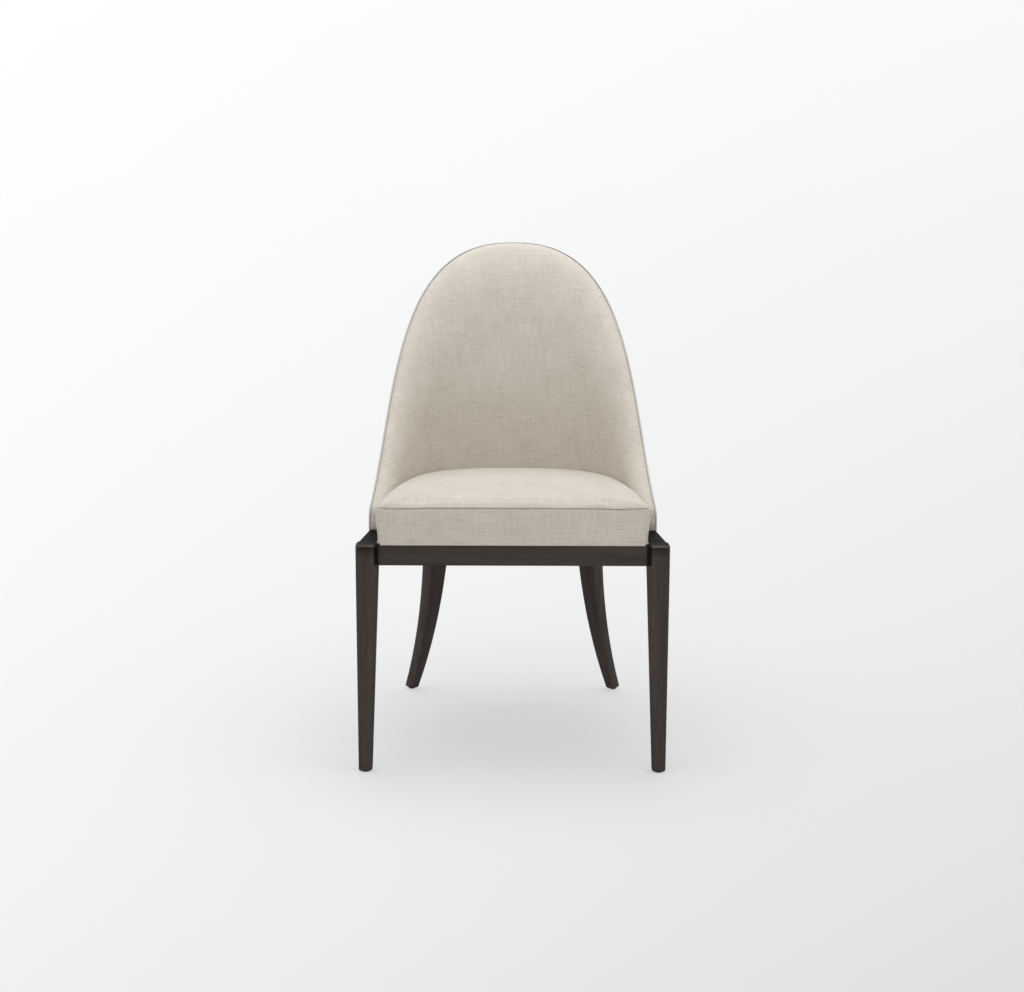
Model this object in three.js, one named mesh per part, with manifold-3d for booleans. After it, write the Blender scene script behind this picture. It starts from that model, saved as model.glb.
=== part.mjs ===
// Klismos dining chair: tapered front legs, sabre rear legs and a curved seat frame of hardwood,
// a boxed seat cushion, and a tub back whose padded top edge sweeps down into two wings.
// Millimetres. X runs across the chair, Y from front to back, Z up from the floor.
// While it is built, Y is zero at the front faces of the front legs. Left is the side of negative X.

import * as THREE from 'three';
import { mergeVertices } from 'three/addons/utils/BufferGeometryUtils.js';
import Module from 'manifold-3d';

const wasm = await Module();
wasm.setup();

// Fits between pieces
const fitGap = 0.3;
const cutOverrun = 6;

// Sides of small turned pieces
const roundSides = 8;
const hexagonSides = 6;

// Seat frame
const railTop = 428;
const railHeight = 39;
const railThickness = 26;
const railInset = 2;
const frontRailSetback = 7;
const tenonLength = 13;
const tenonThickness = 10;
const tenonShoulder = 6;
const railSteps = 9;

// Plan of the tub back, level with the top of the rails
const planHalfWidth = 285.4;
const planDepth = 556;
const sideToeIn = Math.tan(THREE.MathUtils.degToRad(5.77));
const planDepthPower = 6.19;
const planWidthPower = 2.4;
const planSpread = 3;
const planDivisions = 600;
const planSearchSteps = 40;

// Front legs
const frontLegInset = 0.2;
const frontLegWidth = 41;
const frontLegDepth = 38;
const frontLegTaperTop = 382;
const frontFootWidth = 24.7;
const frontFootDepth = 25;
const frontFootDrawIn = 2;
const frontLegEdgeRadius = 7;
const legTopBevel = 2.5;
const footBevel = 2;
const frontLegCornerSteps = 4;

// Rear legs, curved outwards in an upright plane
const rearLegForward = 45.6;
const rearLegInset = 9;
const rearLegTurn = THREE.MathUtils.degToRad(35.5);
const rearLegWidth = 47;
const rearLegThickness = 37;
const rearFootWidth = 17.2;
const rearFootThickness = 27.8;
const rearLegSweep = 102.6;
const rearLegSweepPower = 2.14;
const rearLegEdgeRadius = 3;
const rearLegSteps = 11;
const rearLegCornerSteps = 2;

// Nail-on glides under the feet
const glideHeight = 3;
const frontGlideRadius = 9;
const rearGlideRadius = 6.5;
const glideNailRadius = 1.5;
const glideNailLength = 14;
const glideBevel = 0.8;
const glideSides = 12;

// Corner blocks and the screws through them
const blockHeight = 30;
const frontBlockReach = 62;
const rearBlockReach = 52;
const rearBlockThickness = 50;
const rearBlockEndMargin = 13;
const rearBlockInnerShare = 0.5;
const frontDeckScrewInShare = 0.2;
const frontDeckScrewBackShare = 0.17;
const rearDeckScrewShare = 0.82;
const blockSteps = 4;
const screwRadius = 2;
const screwHeadRadius = 4;
const screwHeadHeight = 2.5;
const screwTip = 4;
const blockScrewSeat = 13;
const blockScrewBite = 17;
const blockScrewStagger = 7;
const deckScrewBite = 8;
const deckScrewSeat = 18;

// Tub back
const recline = Math.tan(THREE.MathUtils.degToRad(8));
const wingFront = 142;
const wingRise = 38;
const wingCornerRadius = 14;
const backHeight = 943.4;
const sweepLowDepthShare = 0.364;
const sweepLowHeightShare = 0.1615;
const sweepHighDepthShare = 0.5222;
const sweepHighHeightShare = 0.4177;
const sweepDivisions = 160;
const tubSteps = 30;

// Layers of the back, counted from its outer face inwards
const outerCoverThickness = 2.5;
const shellThickness = 8;
const shellTopGap = 2;
const baseRailWidth = 16;
const baseRailHeight = 18;
const baseRailSetback = 20;
const innerCoverThickness = 4.5;
const sidePadThickness = 34;
const rearPadSeatThickness = 60;
const rearPadTopThickness = 50;
const weltRadius = 1.75;
const weltSides = 8;
const sideRollDepth = 36;
const rearRollDepth = 190;
const rollFullness = 0.8;
const rollLead = 6;
const rollDip = 1;
const rollHeightShare = 0.85;
const rollSteps = 5;
const faceSteps = 4;
const noseDepth = 16;
const noseRounding = 14;
const noseShares = [0, 0.12, 0.4];

// Bolts and screws of the back
const boltRadius = 3;
const boltHeadRadius = 5;
const boltHeadHeight = 4;
const boltPocketDepth = 9;
const boltFlangeRadius = 7.5;
const boltFlangeThickness = 1.6;
const insertRadius = 5.5;
const insertLength = 12;
const boltTipDepth = 3;
const boltInset = 17.5;
const sideBoltDepthShares = [0.414, 0.71];
const rearBoltSpread = 80;
const shellScrewBite = 10;
const shellScrewSink = 4;
const shellScrewShares = [0.16, 0.33, 0.47, 0.53, 0.67, 0.84];

// Seat
const seatFront = 8;
const seatSideInset = 38.6;
const seatCornerRadius = 7;
const seatBandHeight = 67;
const seatDrawIn = 2.4;
const seatRake = 11;
const seatEdgeRoll = 15;
const seatEdgeRise = 8;
const seatCrown = 11;
const seatClearance = 0.8;
const seatCoverThickness = 6;
const deckThickness = 12;
const bandFullShare = 0.7;
const bandSteps = 4;
const seatRollSteps = 3;
const crownShares = [0.28, 0.6];
const cornerShares = [0, 1 / 3, 2 / 3, 1];
const sideShares = [0.35, 0.7];
const frontShares = [0.35, 0.7, 1];

// Cloth under the seat frame
const dustClothThickness = 0.8;
const dustClothLap = 14;
const dustClothLegGap = 1;

// Heights and depths that follow from the sizes above
const railBottom = railTop - railHeight;
const frontRailBack = frontRailSetback + railThickness;
const railInner = railInset + railThickness;
const frontLegOuterHalf = planHalfWidth - frontLegInset;
const frontLegInnerHalf = frontLegOuterHalf - frontLegWidth;
const rearLegPlanDepth = planDepth - rearLegForward;
const seatHalfWidth = planHalfWidth - seatSideInset;
const shellOuter = outerCoverThickness + fitGap;
const baseRailOuter = shellOuter + shellThickness + fitGap;
const weltSeat = 2 * weltRadius + fitGap;
const shellSetback = noseShares.at(-1) * noseDepth;
const blockBottom = railTop - blockHeight;
const blockMiddleHeight = railTop - blockHeight / 2;
const deckBottom = railTop + fitGap;
const deckTop = deckBottom + deckThickness;
const foamBottom = deckTop + fitGap;
const seam = railTop + seatBandHeight;
const seatRear = planDepth - rearPadSeatThickness;
const seatMiddleDepth = (seatFront + seatRear) / 2;
const wingHeight = railTop + wingRise;
const upholsteryBottom = railTop + fitGap;
const baseRailTop = upholsteryBottom + baseRailHeight;
const insertBottom = baseRailTop - insertLength;
const boltSeat = railBottom + boltPocketDepth - fitGap;

// Upright direction
const up = new THREE.Vector3(0, 0, 1);

// Colours and surfaces
function material(color, roughness, metalness = 0) {
  return new THREE.MeshStandardMaterial({ color, roughness, metalness });
}
const espressoWood = () => material('#3f3935', 0.45);
const beech = () => material('#c9a878', 0.7);
const plywood = () => material('#c2a06f', 0.75);
const linen = () => material('#c8beb1', 0.95);
const weltCloth = () => material('#9c948b', 0.95);
const foam = () => material('#e8dfb8', 1);
const zincSteel = () => material('#b3b6ba', 0.35, 1);
const nylon = () => material('#2b2a29', 0.55);
const blackCloth = () => material('#232324', 1);

// Solids from geometry and back
function solidFrom(geometry) {
  const bare = geometry.clone();
  bare.deleteAttribute('normal');
  bare.deleteAttribute('uv');
  const merged = mergeVertices(bare);
  return new wasm.Manifold(new wasm.Mesh({
    numProp: 3,
    vertProperties: new Float32Array(merged.attributes.position.array),
    triVerts: new Uint32Array(merged.index.array),
  }));
}

function geometryFrom(solid) {
  const mesh = solid.getMesh();
  const geometry = new THREE.BufferGeometry();
  geometry.setAttribute('position', new THREE.BufferAttribute(mesh.vertProperties, mesh.numProp));
  geometry.setIndex(new THREE.BufferAttribute(mesh.triVerts, 1));
  geometry.computeVertexNormals();
  return geometry;
}

// Cutting takes the tools away from the body, joining adds them to it
function cut(geometry, tools) {
  return geometryFrom(tools.reduce((body, tool) => body.subtract(solidFrom(tool)), solidFrom(geometry)));
}

function join(geometry, additions) {
  return geometryFrom(additions.reduce((body, extra) => body.add(solidFrom(extra)), solidFrom(geometry)));
}

// Six times the volume inside the triangles, negative when they face inwards
function signedVolume(points, triangles) {
  let sum = 0;
  for (let i = 0; i < triangles.length; i += 3) {
    const [a, b, c] = triangles.slice(i, i + 3).map((index) => points[index]);
    sum += a.dot(new THREE.Vector3().crossVectors(b, c));
  }
  return sum;
}

function closedGeometry(points, triangles) {
  const facing = signedVolume(points, triangles) < 0 ? triangles.reverse() : triangles;
  const geometry = new THREE.BufferGeometry().setFromPoints(points);
  geometry.setIndex(facing);
  geometry.computeVertexNormals();
  return geometry;
}

// Side faces between rings that hold the same number of points
function ringWalls(ringCount, ringSize) {
  const triangles = [];
  for (let ring = 0; ring + 1 < ringCount; ring += 1) {
    for (let i = 0; i < ringSize; i += 1) {
      const next = (i + 1) % ringSize;
      const a = ring * ringSize + i;
      const b = ring * ringSize + next;
      const c = b + ringSize;
      const d = a + ringSize;
      triangles.push(a, b, c, a, c, d);
    }
  }
  return triangles;
}

// A closed body through rings, its two ends triangulated from their flat outlines
function loft(rings, startOutline, endOutline) {
  const size = rings[0].length;
  const triangles = ringWalls(rings.length, size);
  const capFaces = (outline) => THREE.ShapeUtils.triangulateShape(outline, [])
    .map((face) => (THREE.ShapeUtils.area(outline) < 0 ? [...face].reverse() : face));
  for (const [a, b, c] of capFaces(startOutline)) triangles.push(c, b, a);
  const last = (rings.length - 1) * size;
  for (const [a, b, c] of capFaces(endOutline)) triangles.push(last + a, last + b, last + c);
  return closedGeometry(rings.flat(), triangles);
}

// A closed body through stacked rings, each end fanned from its middle point
function stack(rings, startMiddle, endMiddle) {
  const size = rings[0].length;
  const points = [...rings.flat(), startMiddle, endMiddle];
  const triangles = ringWalls(rings.length, size);
  const last = (rings.length - 1) * size;
  for (let i = 0; i < size; i += 1) {
    const next = (i + 1) % size;
    triangles.push(next, i, rings.length * size);
    triangles.push(last + i, last + next, rings.length * size + 1);
  }
  return closedGeometry(points, triangles);
}

// A plate or bar of a plan outline between two heights
function prism(outline, bottom, top) {
  const geometry = new THREE.ExtrudeGeometry(new THREE.Shape(outline), {
    depth: top - bottom,
    bevelEnabled: false,
  });
  return geometry.translate(0, 0, bottom);
}

function box(minimum, maximum) {
  const size = new THREE.Vector3().subVectors(maximum, minimum);
  const middle = new THREE.Vector3().addVectors(minimum, maximum).divideScalar(2);
  return new THREE.BoxGeometry(size.x, size.y, size.z).translate(middle.x, middle.y, middle.z);
}

// A turned body whose profile of radius and distance runs along a direction from a start point
function turned(profile, start, direction, sides) {
  const points = profile.map(([radius, along]) => new THREE.Vector2(radius, along));
  const geometry = new THREE.LatheGeometry(points, sides);
  const turn = new THREE.Quaternion().setFromUnitVectors(new THREE.Vector3(0, 1, 0), direction);
  return geometry.applyQuaternion(turn).translate(start.x, start.y, start.z);
}

function rod(radius, length, start, direction, sides = roundSides) {
  return turned([[0, 0], [radius, 0], [radius, length], [0, length]], start, direction, sides);
}

function mirrored(point) {
  return point.clone().setX(-point.x);
}

// Rounded rectangle around a middle point, as plan offsets
function roundedRectangle(width, depth, radius, cornerSteps) {
  const points = [];
  const corners = [[1, 1], [-1, 1], [-1, -1], [1, -1]];
  corners.forEach(([signX, signY], corner) => {
    for (let step = 0; step <= cornerSteps; step += 1) {
      const angle = (Math.PI / 2) * (corner + step / cornerSteps);
      points.push(new THREE.Vector2(
        signX * (width / 2 - radius) + radius * Math.cos(angle),
        signY * (depth / 2 - radius) + radius * Math.sin(angle),
      ));
    }
  });
  return points;
}

// The tub back in plan, from the left front end round the rear middle to the right front end
class TubPlan extends THREE.Curve {
  constructor(frontDepth) {
    super();
    this.arcLengthDivisions = planDivisions;
    const frontAngle = Math.asin((frontDepth / planDepth) ** (planDepthPower / 2));
    this.frontShare = (frontAngle / (Math.PI / 2)) ** (1 / planSpread);
  }

  getPoint(t, target = new THREE.Vector2()) {
    const turnShare = THREE.MathUtils.lerp(1, this.frontShare, Math.abs(2 * t - 1));
    const angle = (Math.PI / 2) * turnShare ** planSpread;
    const depth = planDepth * Math.sin(angle) ** (2 / planDepthPower);
    const half = (planHalfWidth - sideToeIn * depth) * Math.cos(angle) ** (2 / planWidthPower);
    return target.set(Math.sign(t - 0.5) * half, depth);
  }

  // Plan point at an arc distance from the left front end and an inset from the outer face
  at(distance, inset = 0) {
    const share = THREE.MathUtils.clamp(distance / this.getLength(), 0, 1);
    return this.getPointAt(share).addScaledVector(this.inward(distance), inset);
  }

  inward(distance) {
    const share = THREE.MathUtils.clamp(distance / this.getLength(), 0, 1);
    const tangent = this.getTangentAt(share);
    return new THREE.Vector2(tangent.y, -tangent.x);
  }

  // Arc distance of the left side's point at a depth
  distanceAtDepth(depth) {
    let low = 0;
    let high = this.getLength() / 2;
    for (let step = 0; step < planSearchSteps; step += 1) {
      const middle = (low + high) / 2;
      if (this.at(middle).y < depth) low = middle;
      else high = middle;
    }
    return low;
  }
}

const railPlan = new TubPlan(frontLegDepth / 2);
const tubPlan = new TubPlan(wingFront);
const tubLength = tubPlan.getLength();

// Front legs

function frontLegRing(height, inset, side) {
  const taper = THREE.MathUtils.clamp((frontLegTaperTop - height) / frontLegTaperTop, 0, 1);
  const width = THREE.MathUtils.lerp(frontLegWidth, frontFootWidth, taper);
  const depth = THREE.MathUtils.lerp(frontLegDepth, frontFootDepth, taper);
  const outer = frontLegOuterHalf - frontFootDrawIn * taper;
  const radius = frontLegEdgeRadius * (width / frontLegWidth);
  return roundedRectangle(width - 2 * inset, depth - 2 * inset, radius - inset, frontLegCornerSteps)
    .map((point) => new THREE.Vector3(side * (outer - width / 2 + point.x), depth / 2 + point.y, height));
}

function frontLegMortises(side) {
  return [frontTenon(side, fitGap), sideFrontTenon(side, fitGap)];
}

function frontLeg(side) {
  const rings = [
    frontLegRing(glideHeight, footBevel, side),
    frontLegRing(glideHeight + footBevel, 0, side),
    frontLegRing(frontLegTaperTop, 0, side),
    frontLegRing(railTop - legTopBevel, 0, side),
    frontLegRing(railTop, legTopBevel, side),
  ];
  const flat = (ring) => ring.map((point) => new THREE.Vector2(point.x, point.y));
  const body = loft(rings, flat(rings[0]), flat(rings.at(-1)));
  return cut(body, [...frontLegMortises(side), glideNailHole(frontFootMiddle(side))]);
}

function frontFootMiddle(side) {
  const middleHalf = frontLegOuterHalf - frontFootDrawIn - frontFootWidth / 2;
  return new THREE.Vector3(side * middleHalf, frontFootDepth / 2, 0);
}

// Rear legs

// Outward direction of the leg's bend, and the direction across it towards the middle of the back
const rearBend = (side) => new THREE.Vector2(side * Math.sin(rearLegTurn), Math.cos(rearLegTurn));
const rearAcross = (side) => new THREE.Vector2(-side * Math.cos(rearLegTurn), Math.sin(rearLegTurn));

function rearLegMiddle(side, height) {
  const planPoint = railPlan.at(railPlan.distanceAtDepth(rearLegPlanDepth));
  const start = new THREE.Vector2(side * Math.abs(planPoint.x), planPoint.y);
  const drop = THREE.MathUtils.clamp((railTop - height) / railTop, 0, 1);
  return start.addScaledVector(rearBend(side), rearLegSweep * drop ** rearLegSweepPower - rearLegInset);
}

function rearLegRing(height, inset, side) {
  const taper = THREE.MathUtils.clamp((railBottom - height) / railBottom, 0, 1);
  const width = THREE.MathUtils.lerp(rearLegWidth, rearFootWidth, taper);
  const thickness = THREE.MathUtils.lerp(rearLegThickness, rearFootThickness, taper);
  const middle = rearLegMiddle(side, height);
  const section = roundedRectangle(
    width - 2 * inset,
    thickness - 2 * inset,
    rearLegEdgeRadius,
    rearLegCornerSteps,
  );
  return section.map((point) => {
    const plan = middle.clone()
      .addScaledVector(rearAcross(side), point.x)
      .addScaledVector(rearBend(side), point.y);
    return new THREE.Vector3(plan.x, plan.y, height);
  });
}

function rearLeg(side) {
  const footTop = glideHeight + footBevel;
  const rings = [rearLegRing(glideHeight, footBevel, side)];
  for (let step = 0; step <= rearLegSteps; step += 1) {
    rings.push(rearLegRing(THREE.MathUtils.lerp(footTop, railBottom, step / rearLegSteps), 0, side));
  }
  rings.push(rearLegRing(railTop, 0, side));
  const flat = (ring) => ring.map((point) => new THREE.Vector2(point.x, point.y));
  const body = loft(rings, flat(rings[0]), flat(rings.at(-1)));
  return cut(body, [
    rearTenon(side, 1, fitGap),
    rearTenon(side, -1, fitGap),
    glideNailHole(rearFootMiddle(side)),
  ]);
}

function rearFootMiddle(side) {
  const middle = rearLegMiddle(side, glideHeight);
  return new THREE.Vector3(middle.x, middle.y, 0);
}

// Glides

function glide(radius) {
  const nailTop = glideHeight + glideNailLength;
  return turned([
    [0, 0],
    [radius - glideBevel, 0],
    [radius, glideBevel],
    [radius, glideHeight - fitGap],
    [glideNailRadius, glideHeight - fitGap],
    [glideNailRadius, nailTop],
    [0, nailTop],
  ], new THREE.Vector3(), up, glideSides);
}

function glideNailHole(foot) {
  const start = foot.clone().setZ(glideHeight - cutOverrun);
  return rod(glideNailRadius + fitGap, glideNailLength + fitGap + cutOverrun, start, up);
}

// Rails and their tenons. A tenon with an allowance is the mortise that it goes into.

function frontTenon(side, allowance) {
  const middleDepth = frontRailSetback + railThickness / 2;
  const start = new THREE.Vector2(side * frontLegInnerHalf, middleDepth);
  return tenonAlong(start, new THREE.Vector2(side, 0), allowance);
}

// A tenon that leaves a rail along a plan direction, from its root inside the rail to its tip
function tenonAlong(start, direction, allowance) {
  const half = tenonThickness / 2 + allowance;
  const tenon = box(
    new THREE.Vector3(-cutOverrun, -half, railBottom + tenonShoulder - allowance),
    new THREE.Vector3(tenonLength + allowance, half, railTop - tenonShoulder + allowance),
  );
  return tenon.rotateZ(Math.atan2(direction.y, direction.x)).translate(start.x, start.y, 0);
}

function sideFrontTenon(side, allowance) {
  const distance = railPlan.distanceAtDepth(frontLegDepth);
  const start = railPlan.at(distance, railInset + railThickness / 2);
  const inward = railPlan.inward(distance);
  const direction = new THREE.Vector2(inward.y, -inward.x);
  if (side > 0) {
    start.setX(-start.x);
    direction.setX(-direction.x);
  }
  return tenonAlong(start, direction, allowance);
}

// End 1 is the rear rail's tenon and end -1 the side rail's, one on each face of a rear leg
function rearTenon(side, end, allowance) {
  const centre = rearLegMiddle(side, railTop)
    .addScaledVector(rearBend(side), rearLegInset - railInset - railThickness / 2)
    .addScaledVector(rearAcross(side), end * (rearLegWidth / 2));
  return tenonAlong(centre, rearAcross(side).multiplyScalar(-end), allowance);
}

// The space that a rear leg takes out of the rails, run past their inner and outer faces
function rearLegEnvelope(side, allowance, reach) {
  const middle = rearLegMiddle(side, railTop);
  const across = rearAcross(side);
  const half = rearLegWidth / 2 + allowance;
  return box(
    new THREE.Vector3(-half, -reach, railBottom - cutOverrun),
    new THREE.Vector3(half, reach, railTop + cutOverrun),
  ).rotateZ(Math.atan2(across.y, across.x)).translate(middle.x, middle.y, 0);
}

// Plan outline of a band that follows the tub between two arc distances
function bandOutline(plan, distances, outerInset, innerInset) {
  const outer = distances.map((distance) => plan.at(distance, outerInset));
  const inner = distances.map((distance) => plan.at(distance, innerInset)).reverse();
  return [...outer, ...inner];
}

function evenSteps(start, end, steps) {
  return Array.from({ length: steps + 1 }, (_, step) => THREE.MathUtils.lerp(start, end, step / steps));
}

const rearLegDistance = railPlan.distanceAtDepth(rearLegPlanDepth);
const railLength = railPlan.getLength();
const rearBlockStart = rearLegDistance - rearBlockReach;
const rearBlockEnd = rearLegDistance + rearBlockReach;
const sideRailDistances = [
  ...evenSteps(0, rearBlockStart, railSteps),
  ...evenSteps(rearBlockStart, rearLegDistance, blockSteps).slice(1),
];
const rearRailDistances = [
  ...evenSteps(rearLegDistance, rearBlockEnd, blockSteps),
  ...evenSteps(rearBlockEnd, railLength - rearBlockEnd, railSteps).slice(1),
  ...evenSteps(railLength - rearBlockEnd, railLength - rearLegDistance, blockSteps).slice(1),
];
const sideBoltDistances = sideBoltDepthShares
  .map((share) => railPlan.distanceAtDepth(share * planDepth));
const rearBoltDistance = railLength / 2 - rearBoltSpread;

function frontRail() {
  const body = box(
    new THREE.Vector3(-frontLegInnerHalf + fitGap, frontRailSetback, railBottom),
    new THREE.Vector3(frontLegInnerHalf - fitGap, frontRailBack, railTop),
  );
  const pilots = [-1, 1].map((side) => screwPilot(frontBlockScrews(side)[0]));
  return cut(join(body, [frontTenon(-1, 0), frontTenon(1, 0)]), pilots);
}

function sideRail(side) {
  const outline = bandOutline(railPlan, sideRailDistances, railInset, railInner)
    .map((point) => (side > 0 ? mirrored(point) : point));
  const body = cut(prism(outline, railBottom, railTop), [
    box(
      new THREE.Vector3(-planHalfWidth - cutOverrun, -cutOverrun, railBottom - cutOverrun),
      new THREE.Vector3(planHalfWidth + cutOverrun, frontLegDepth + fitGap, railTop + cutOverrun),
    ),
    rearLegEnvelope(side, fitGap, railThickness + cutOverrun),
  ]);
  const holes = [
    screwPilot(frontBlockScrews(side)[1]),
    screwPilot(rearBlockScrews(side)[0]),
    ...sideBoltDistances.map((distance) => boltHole(boltPoint(distance, side))),
  ];
  return cut(join(body, [sideFrontTenon(side, 0), rearTenon(side, -1, 0)]), holes);
}

function rearRail() {
  const body = cut(
    prism(bandOutline(railPlan, rearRailDistances, railInset, railInner), railBottom, railTop),
    [-1, 1].map((side) => rearLegEnvelope(side, fitGap, railThickness + cutOverrun)),
  );
  const tenons = [-1, 1].map((side) => rearTenon(side, 1, 0));
  const holes = [-1, 1].flatMap((side) => [
    screwPilot(rearBlockScrews(side)[1]),
    boltHole(boltPoint(rearBoltDistance, side)),
  ]);
  return cut(join(body, tenons), holes);
}

// Wood screws. Each is set by the point under its head and the direction it goes in.

function screw({ seat, direction, length }) {
  return turned([
    [0, -screwHeadHeight],
    [screwHeadRadius, -screwHeadHeight],
    [screwHeadRadius, 0],
    [screwRadius, 0],
    [screwRadius, length - screwTip],
    [0, length],
  ], seat, direction, hexagonSides);
}

// The hole that clears a screw from its tip to under its head
function screwPilot({ seat, direction, length }) {
  return rod(screwRadius + fitGap, length + fitGap, seat, direction);
}

// The same hole with the pocket that lets the head in, run out through the face of the block
function screwWay(fixing, pocketLength) {
  const pocketStart = fixing.seat.clone().addScaledVector(fixing.direction, -pocketLength);
  return [
    screwPilot(fixing),
    rod(screwHeadRadius + 2 * fitGap, pocketLength + fitGap, pocketStart, fixing.direction),
  ];
}

// Corner blocks

function frontBlockScrews(side) {
  const length = blockScrewSeat + fitGap + blockScrewBite;
  const distance = railPlan.distanceAtDepth(frontLegDepth + frontBlockReach / 2);
  const rowSeat = railPlan.at(distance, railInner + fitGap + blockScrewSeat);
  const rowInward = railPlan.inward(distance);
  return [
    {
      seat: new THREE.Vector3(
        side * (frontLegInnerHalf - frontBlockReach / 2),
        frontRailBack + fitGap + blockScrewSeat,
        blockMiddleHeight - blockScrewStagger,
      ),
      direction: new THREE.Vector3(0, -1, 0),
      length,
    },
    {
      seat: new THREE.Vector3(-side * rowSeat.x, rowSeat.y, blockMiddleHeight + blockScrewStagger),
      direction: new THREE.Vector3(side * rowInward.x, -rowInward.y, 0),
      length,
    },
  ];
}

function frontBlock(side) {
  const legFace = frontLegInnerHalf - fitGap;
  const legBack = frontLegDepth + fitGap;
  const railFace = frontRailBack + fitGap;
  const sideFace = (depth) => railPlan.at(railPlan.distanceAtDepth(depth), railInner + fitGap);
  const near = sideFace(legBack);
  const far = sideFace(legBack + frontBlockReach);
  const outline = [
    new THREE.Vector2(-legFace, railFace),
    new THREE.Vector2(-legFace, legBack),
    new THREE.Vector2(near.x, legBack),
    far,
    new THREE.Vector2(-legFace + frontBlockReach, railFace),
  ].map((point) => (side > 0 ? mirrored(point) : point));
  return cut(prism(outline, blockBottom, railTop), [
    ...frontBlockScrews(side).flatMap((fixing) => screwWay(fixing, frontBlockReach)),
    ...screwWay(deckScrew(frontDeckScrewPoint(side)), blockHeight),
  ]);
}

const rearBlockDistances = evenSteps(rearBlockStart, rearBlockEnd, 2 * blockSteps);

function rearBlockScrews(side) {
  const length = blockScrewSeat + fitGap + blockScrewBite;
  return [-1, 1].map((end) => {
    const distance = rearLegDistance + end * (rearBlockReach - rearBlockEndMargin);
    const seat = railPlan.at(distance, railInner + fitGap + blockScrewSeat);
    const inward = railPlan.inward(distance);
    return {
      seat: new THREE.Vector3(-side * seat.x, seat.y, blockMiddleHeight),
      direction: new THREE.Vector3(side * inward.x, -inward.y, 0),
      length,
    };
  });
}

function blockScrews(side) {
  return [...frontBlockScrews(side), ...rearBlockScrews(side)];
}

function rearBlock(side) {
  const outer = rearBlockDistances.map((distance) => railPlan.at(distance, railInner + fitGap));
  const inner = [1, -1].map((end) => railPlan.at(
    rearLegDistance + end * rearBlockInnerShare * rearBlockReach,
    railInner + fitGap + rearBlockThickness,
  ));
  const outline = [...outer, ...inner].map((point) => (side > 0 ? mirrored(point) : point));
  return cut(prism(outline, blockBottom, railTop), [
    ...rearBlockScrews(side).flatMap((fixing) => screwWay(fixing, rearBlockThickness)),
    ...screwWay(deckScrew(rearDeckScrewPoint(side)), blockHeight),
  ]);
}

// Deck and its screws, driven up through the corner blocks

function frontDeckScrewPoint(side) {
  return new THREE.Vector2(
    side * (frontLegInnerHalf - frontBlockReach * frontDeckScrewInShare),
    frontLegDepth + frontBlockReach * frontDeckScrewBackShare,
  );
}

function rearDeckScrewPoint(side) {
  const point = railPlan.at(rearLegDistance, railInner + fitGap + rearBlockThickness * rearDeckScrewShare);
  return new THREE.Vector2(-side * point.x, point.y);
}

function deckScrew(point) {
  return {
    seat: new THREE.Vector3(point.x, point.y, railTop - deckScrewSeat),
    direction: up,
    length: deckScrewSeat + fitGap + deckScrewBite,
  };
}

function deckScrews(side) {
  return [deckScrew(frontDeckScrewPoint(side)), deckScrew(rearDeckScrewPoint(side))];
}

function deck() {
  const inset = seatDrawIn + seatCoverThickness + fitGap;
  const rings = [deckBottom, deckTop].map((height) => seatRing(deckBottom, inset, height));
  const middle = (height) => new THREE.Vector3(0, seatMiddleDepth, height);
  const plate = stack(rings, middle(deckBottom), middle(deckTop));
  return cut(plate, [-1, 1].flatMap(deckScrews).map(screwPilot));
}

// Tub back: heights along its edge

// A handle of the sweep, at shares of the way from the wing to the top of the back
const sweepHandle = (depthShare, heightShare) => new THREE.Vector2(
  THREE.MathUtils.lerp(wingFront, planDepth, depthShare),
  THREE.MathUtils.lerp(wingHeight, backHeight, heightShare),
);
const sweepLine = new THREE.CubicBezierCurve(
  new THREE.Vector2(wingFront, wingHeight),
  sweepHandle(sweepLowDepthShare, sweepLowHeightShare),
  sweepHandle(sweepHighDepthShare, sweepHighHeightShare),
  new THREE.Vector2(planDepth, backHeight),
);
const sweepPoints = sweepLine.getPoints(sweepDivisions);

function sweepHeight(depth) {
  const next = Math.max(1, sweepPoints.findIndex((point) => point.x >= depth));
  const after = sweepPoints[next];
  const before = sweepPoints[next - 1];
  return THREE.MathUtils.mapLinear(depth, before.x, after.x, before.y, after.y);
}

const endDistance = (distance) => Math.min(distance, tubLength - distance);

// Rise of a quarter round over its run, zero at the start and whole at the end
function quarterRound(run, length, rise) {
  const share = THREE.MathUtils.clamp(run / length, 0, 1);
  return rise * Math.sqrt(1 - (1 - share) ** 2);
}

function edgeHeight(distance) {
  const corner = wingCornerRadius - quarterRound(endDistance(distance), wingCornerRadius, wingCornerRadius);
  return sweepHeight(Math.min(tubPlan.at(distance).y, planDepth)) - corner;
}

// How much longer a size square to the sloping edge becomes when it is measured upright
function edgeStretch(distance) {
  const run = 2 * weltRadius;
  const place = Math.max(endDistance(distance), weltSeat);
  return Math.hypot(1, (edgeHeight(place) - edgeHeight(place - run)) / run);
}

// How far round to the rear of the tub a place lies: 0 at the wings, 1 in the middle of the back
function rearShareAt(distance) {
  return ((tubPlan.at(distance).y - wingFront) / (planDepth - wingFront)) ** 2;
}

// Height that the roll takes up below the edge, which never reaches down to the rails
function rollFallAt(distance) {
  const wanted = THREE.MathUtils.lerp(sideRollDepth, rearRollDepth, rearShareAt(distance));
  const most = rollHeightShare * (edgeHeight(distance) - railTop);
  return most * (1 - Math.exp(-wanted * edgeStretch(distance) / most));
}

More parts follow.
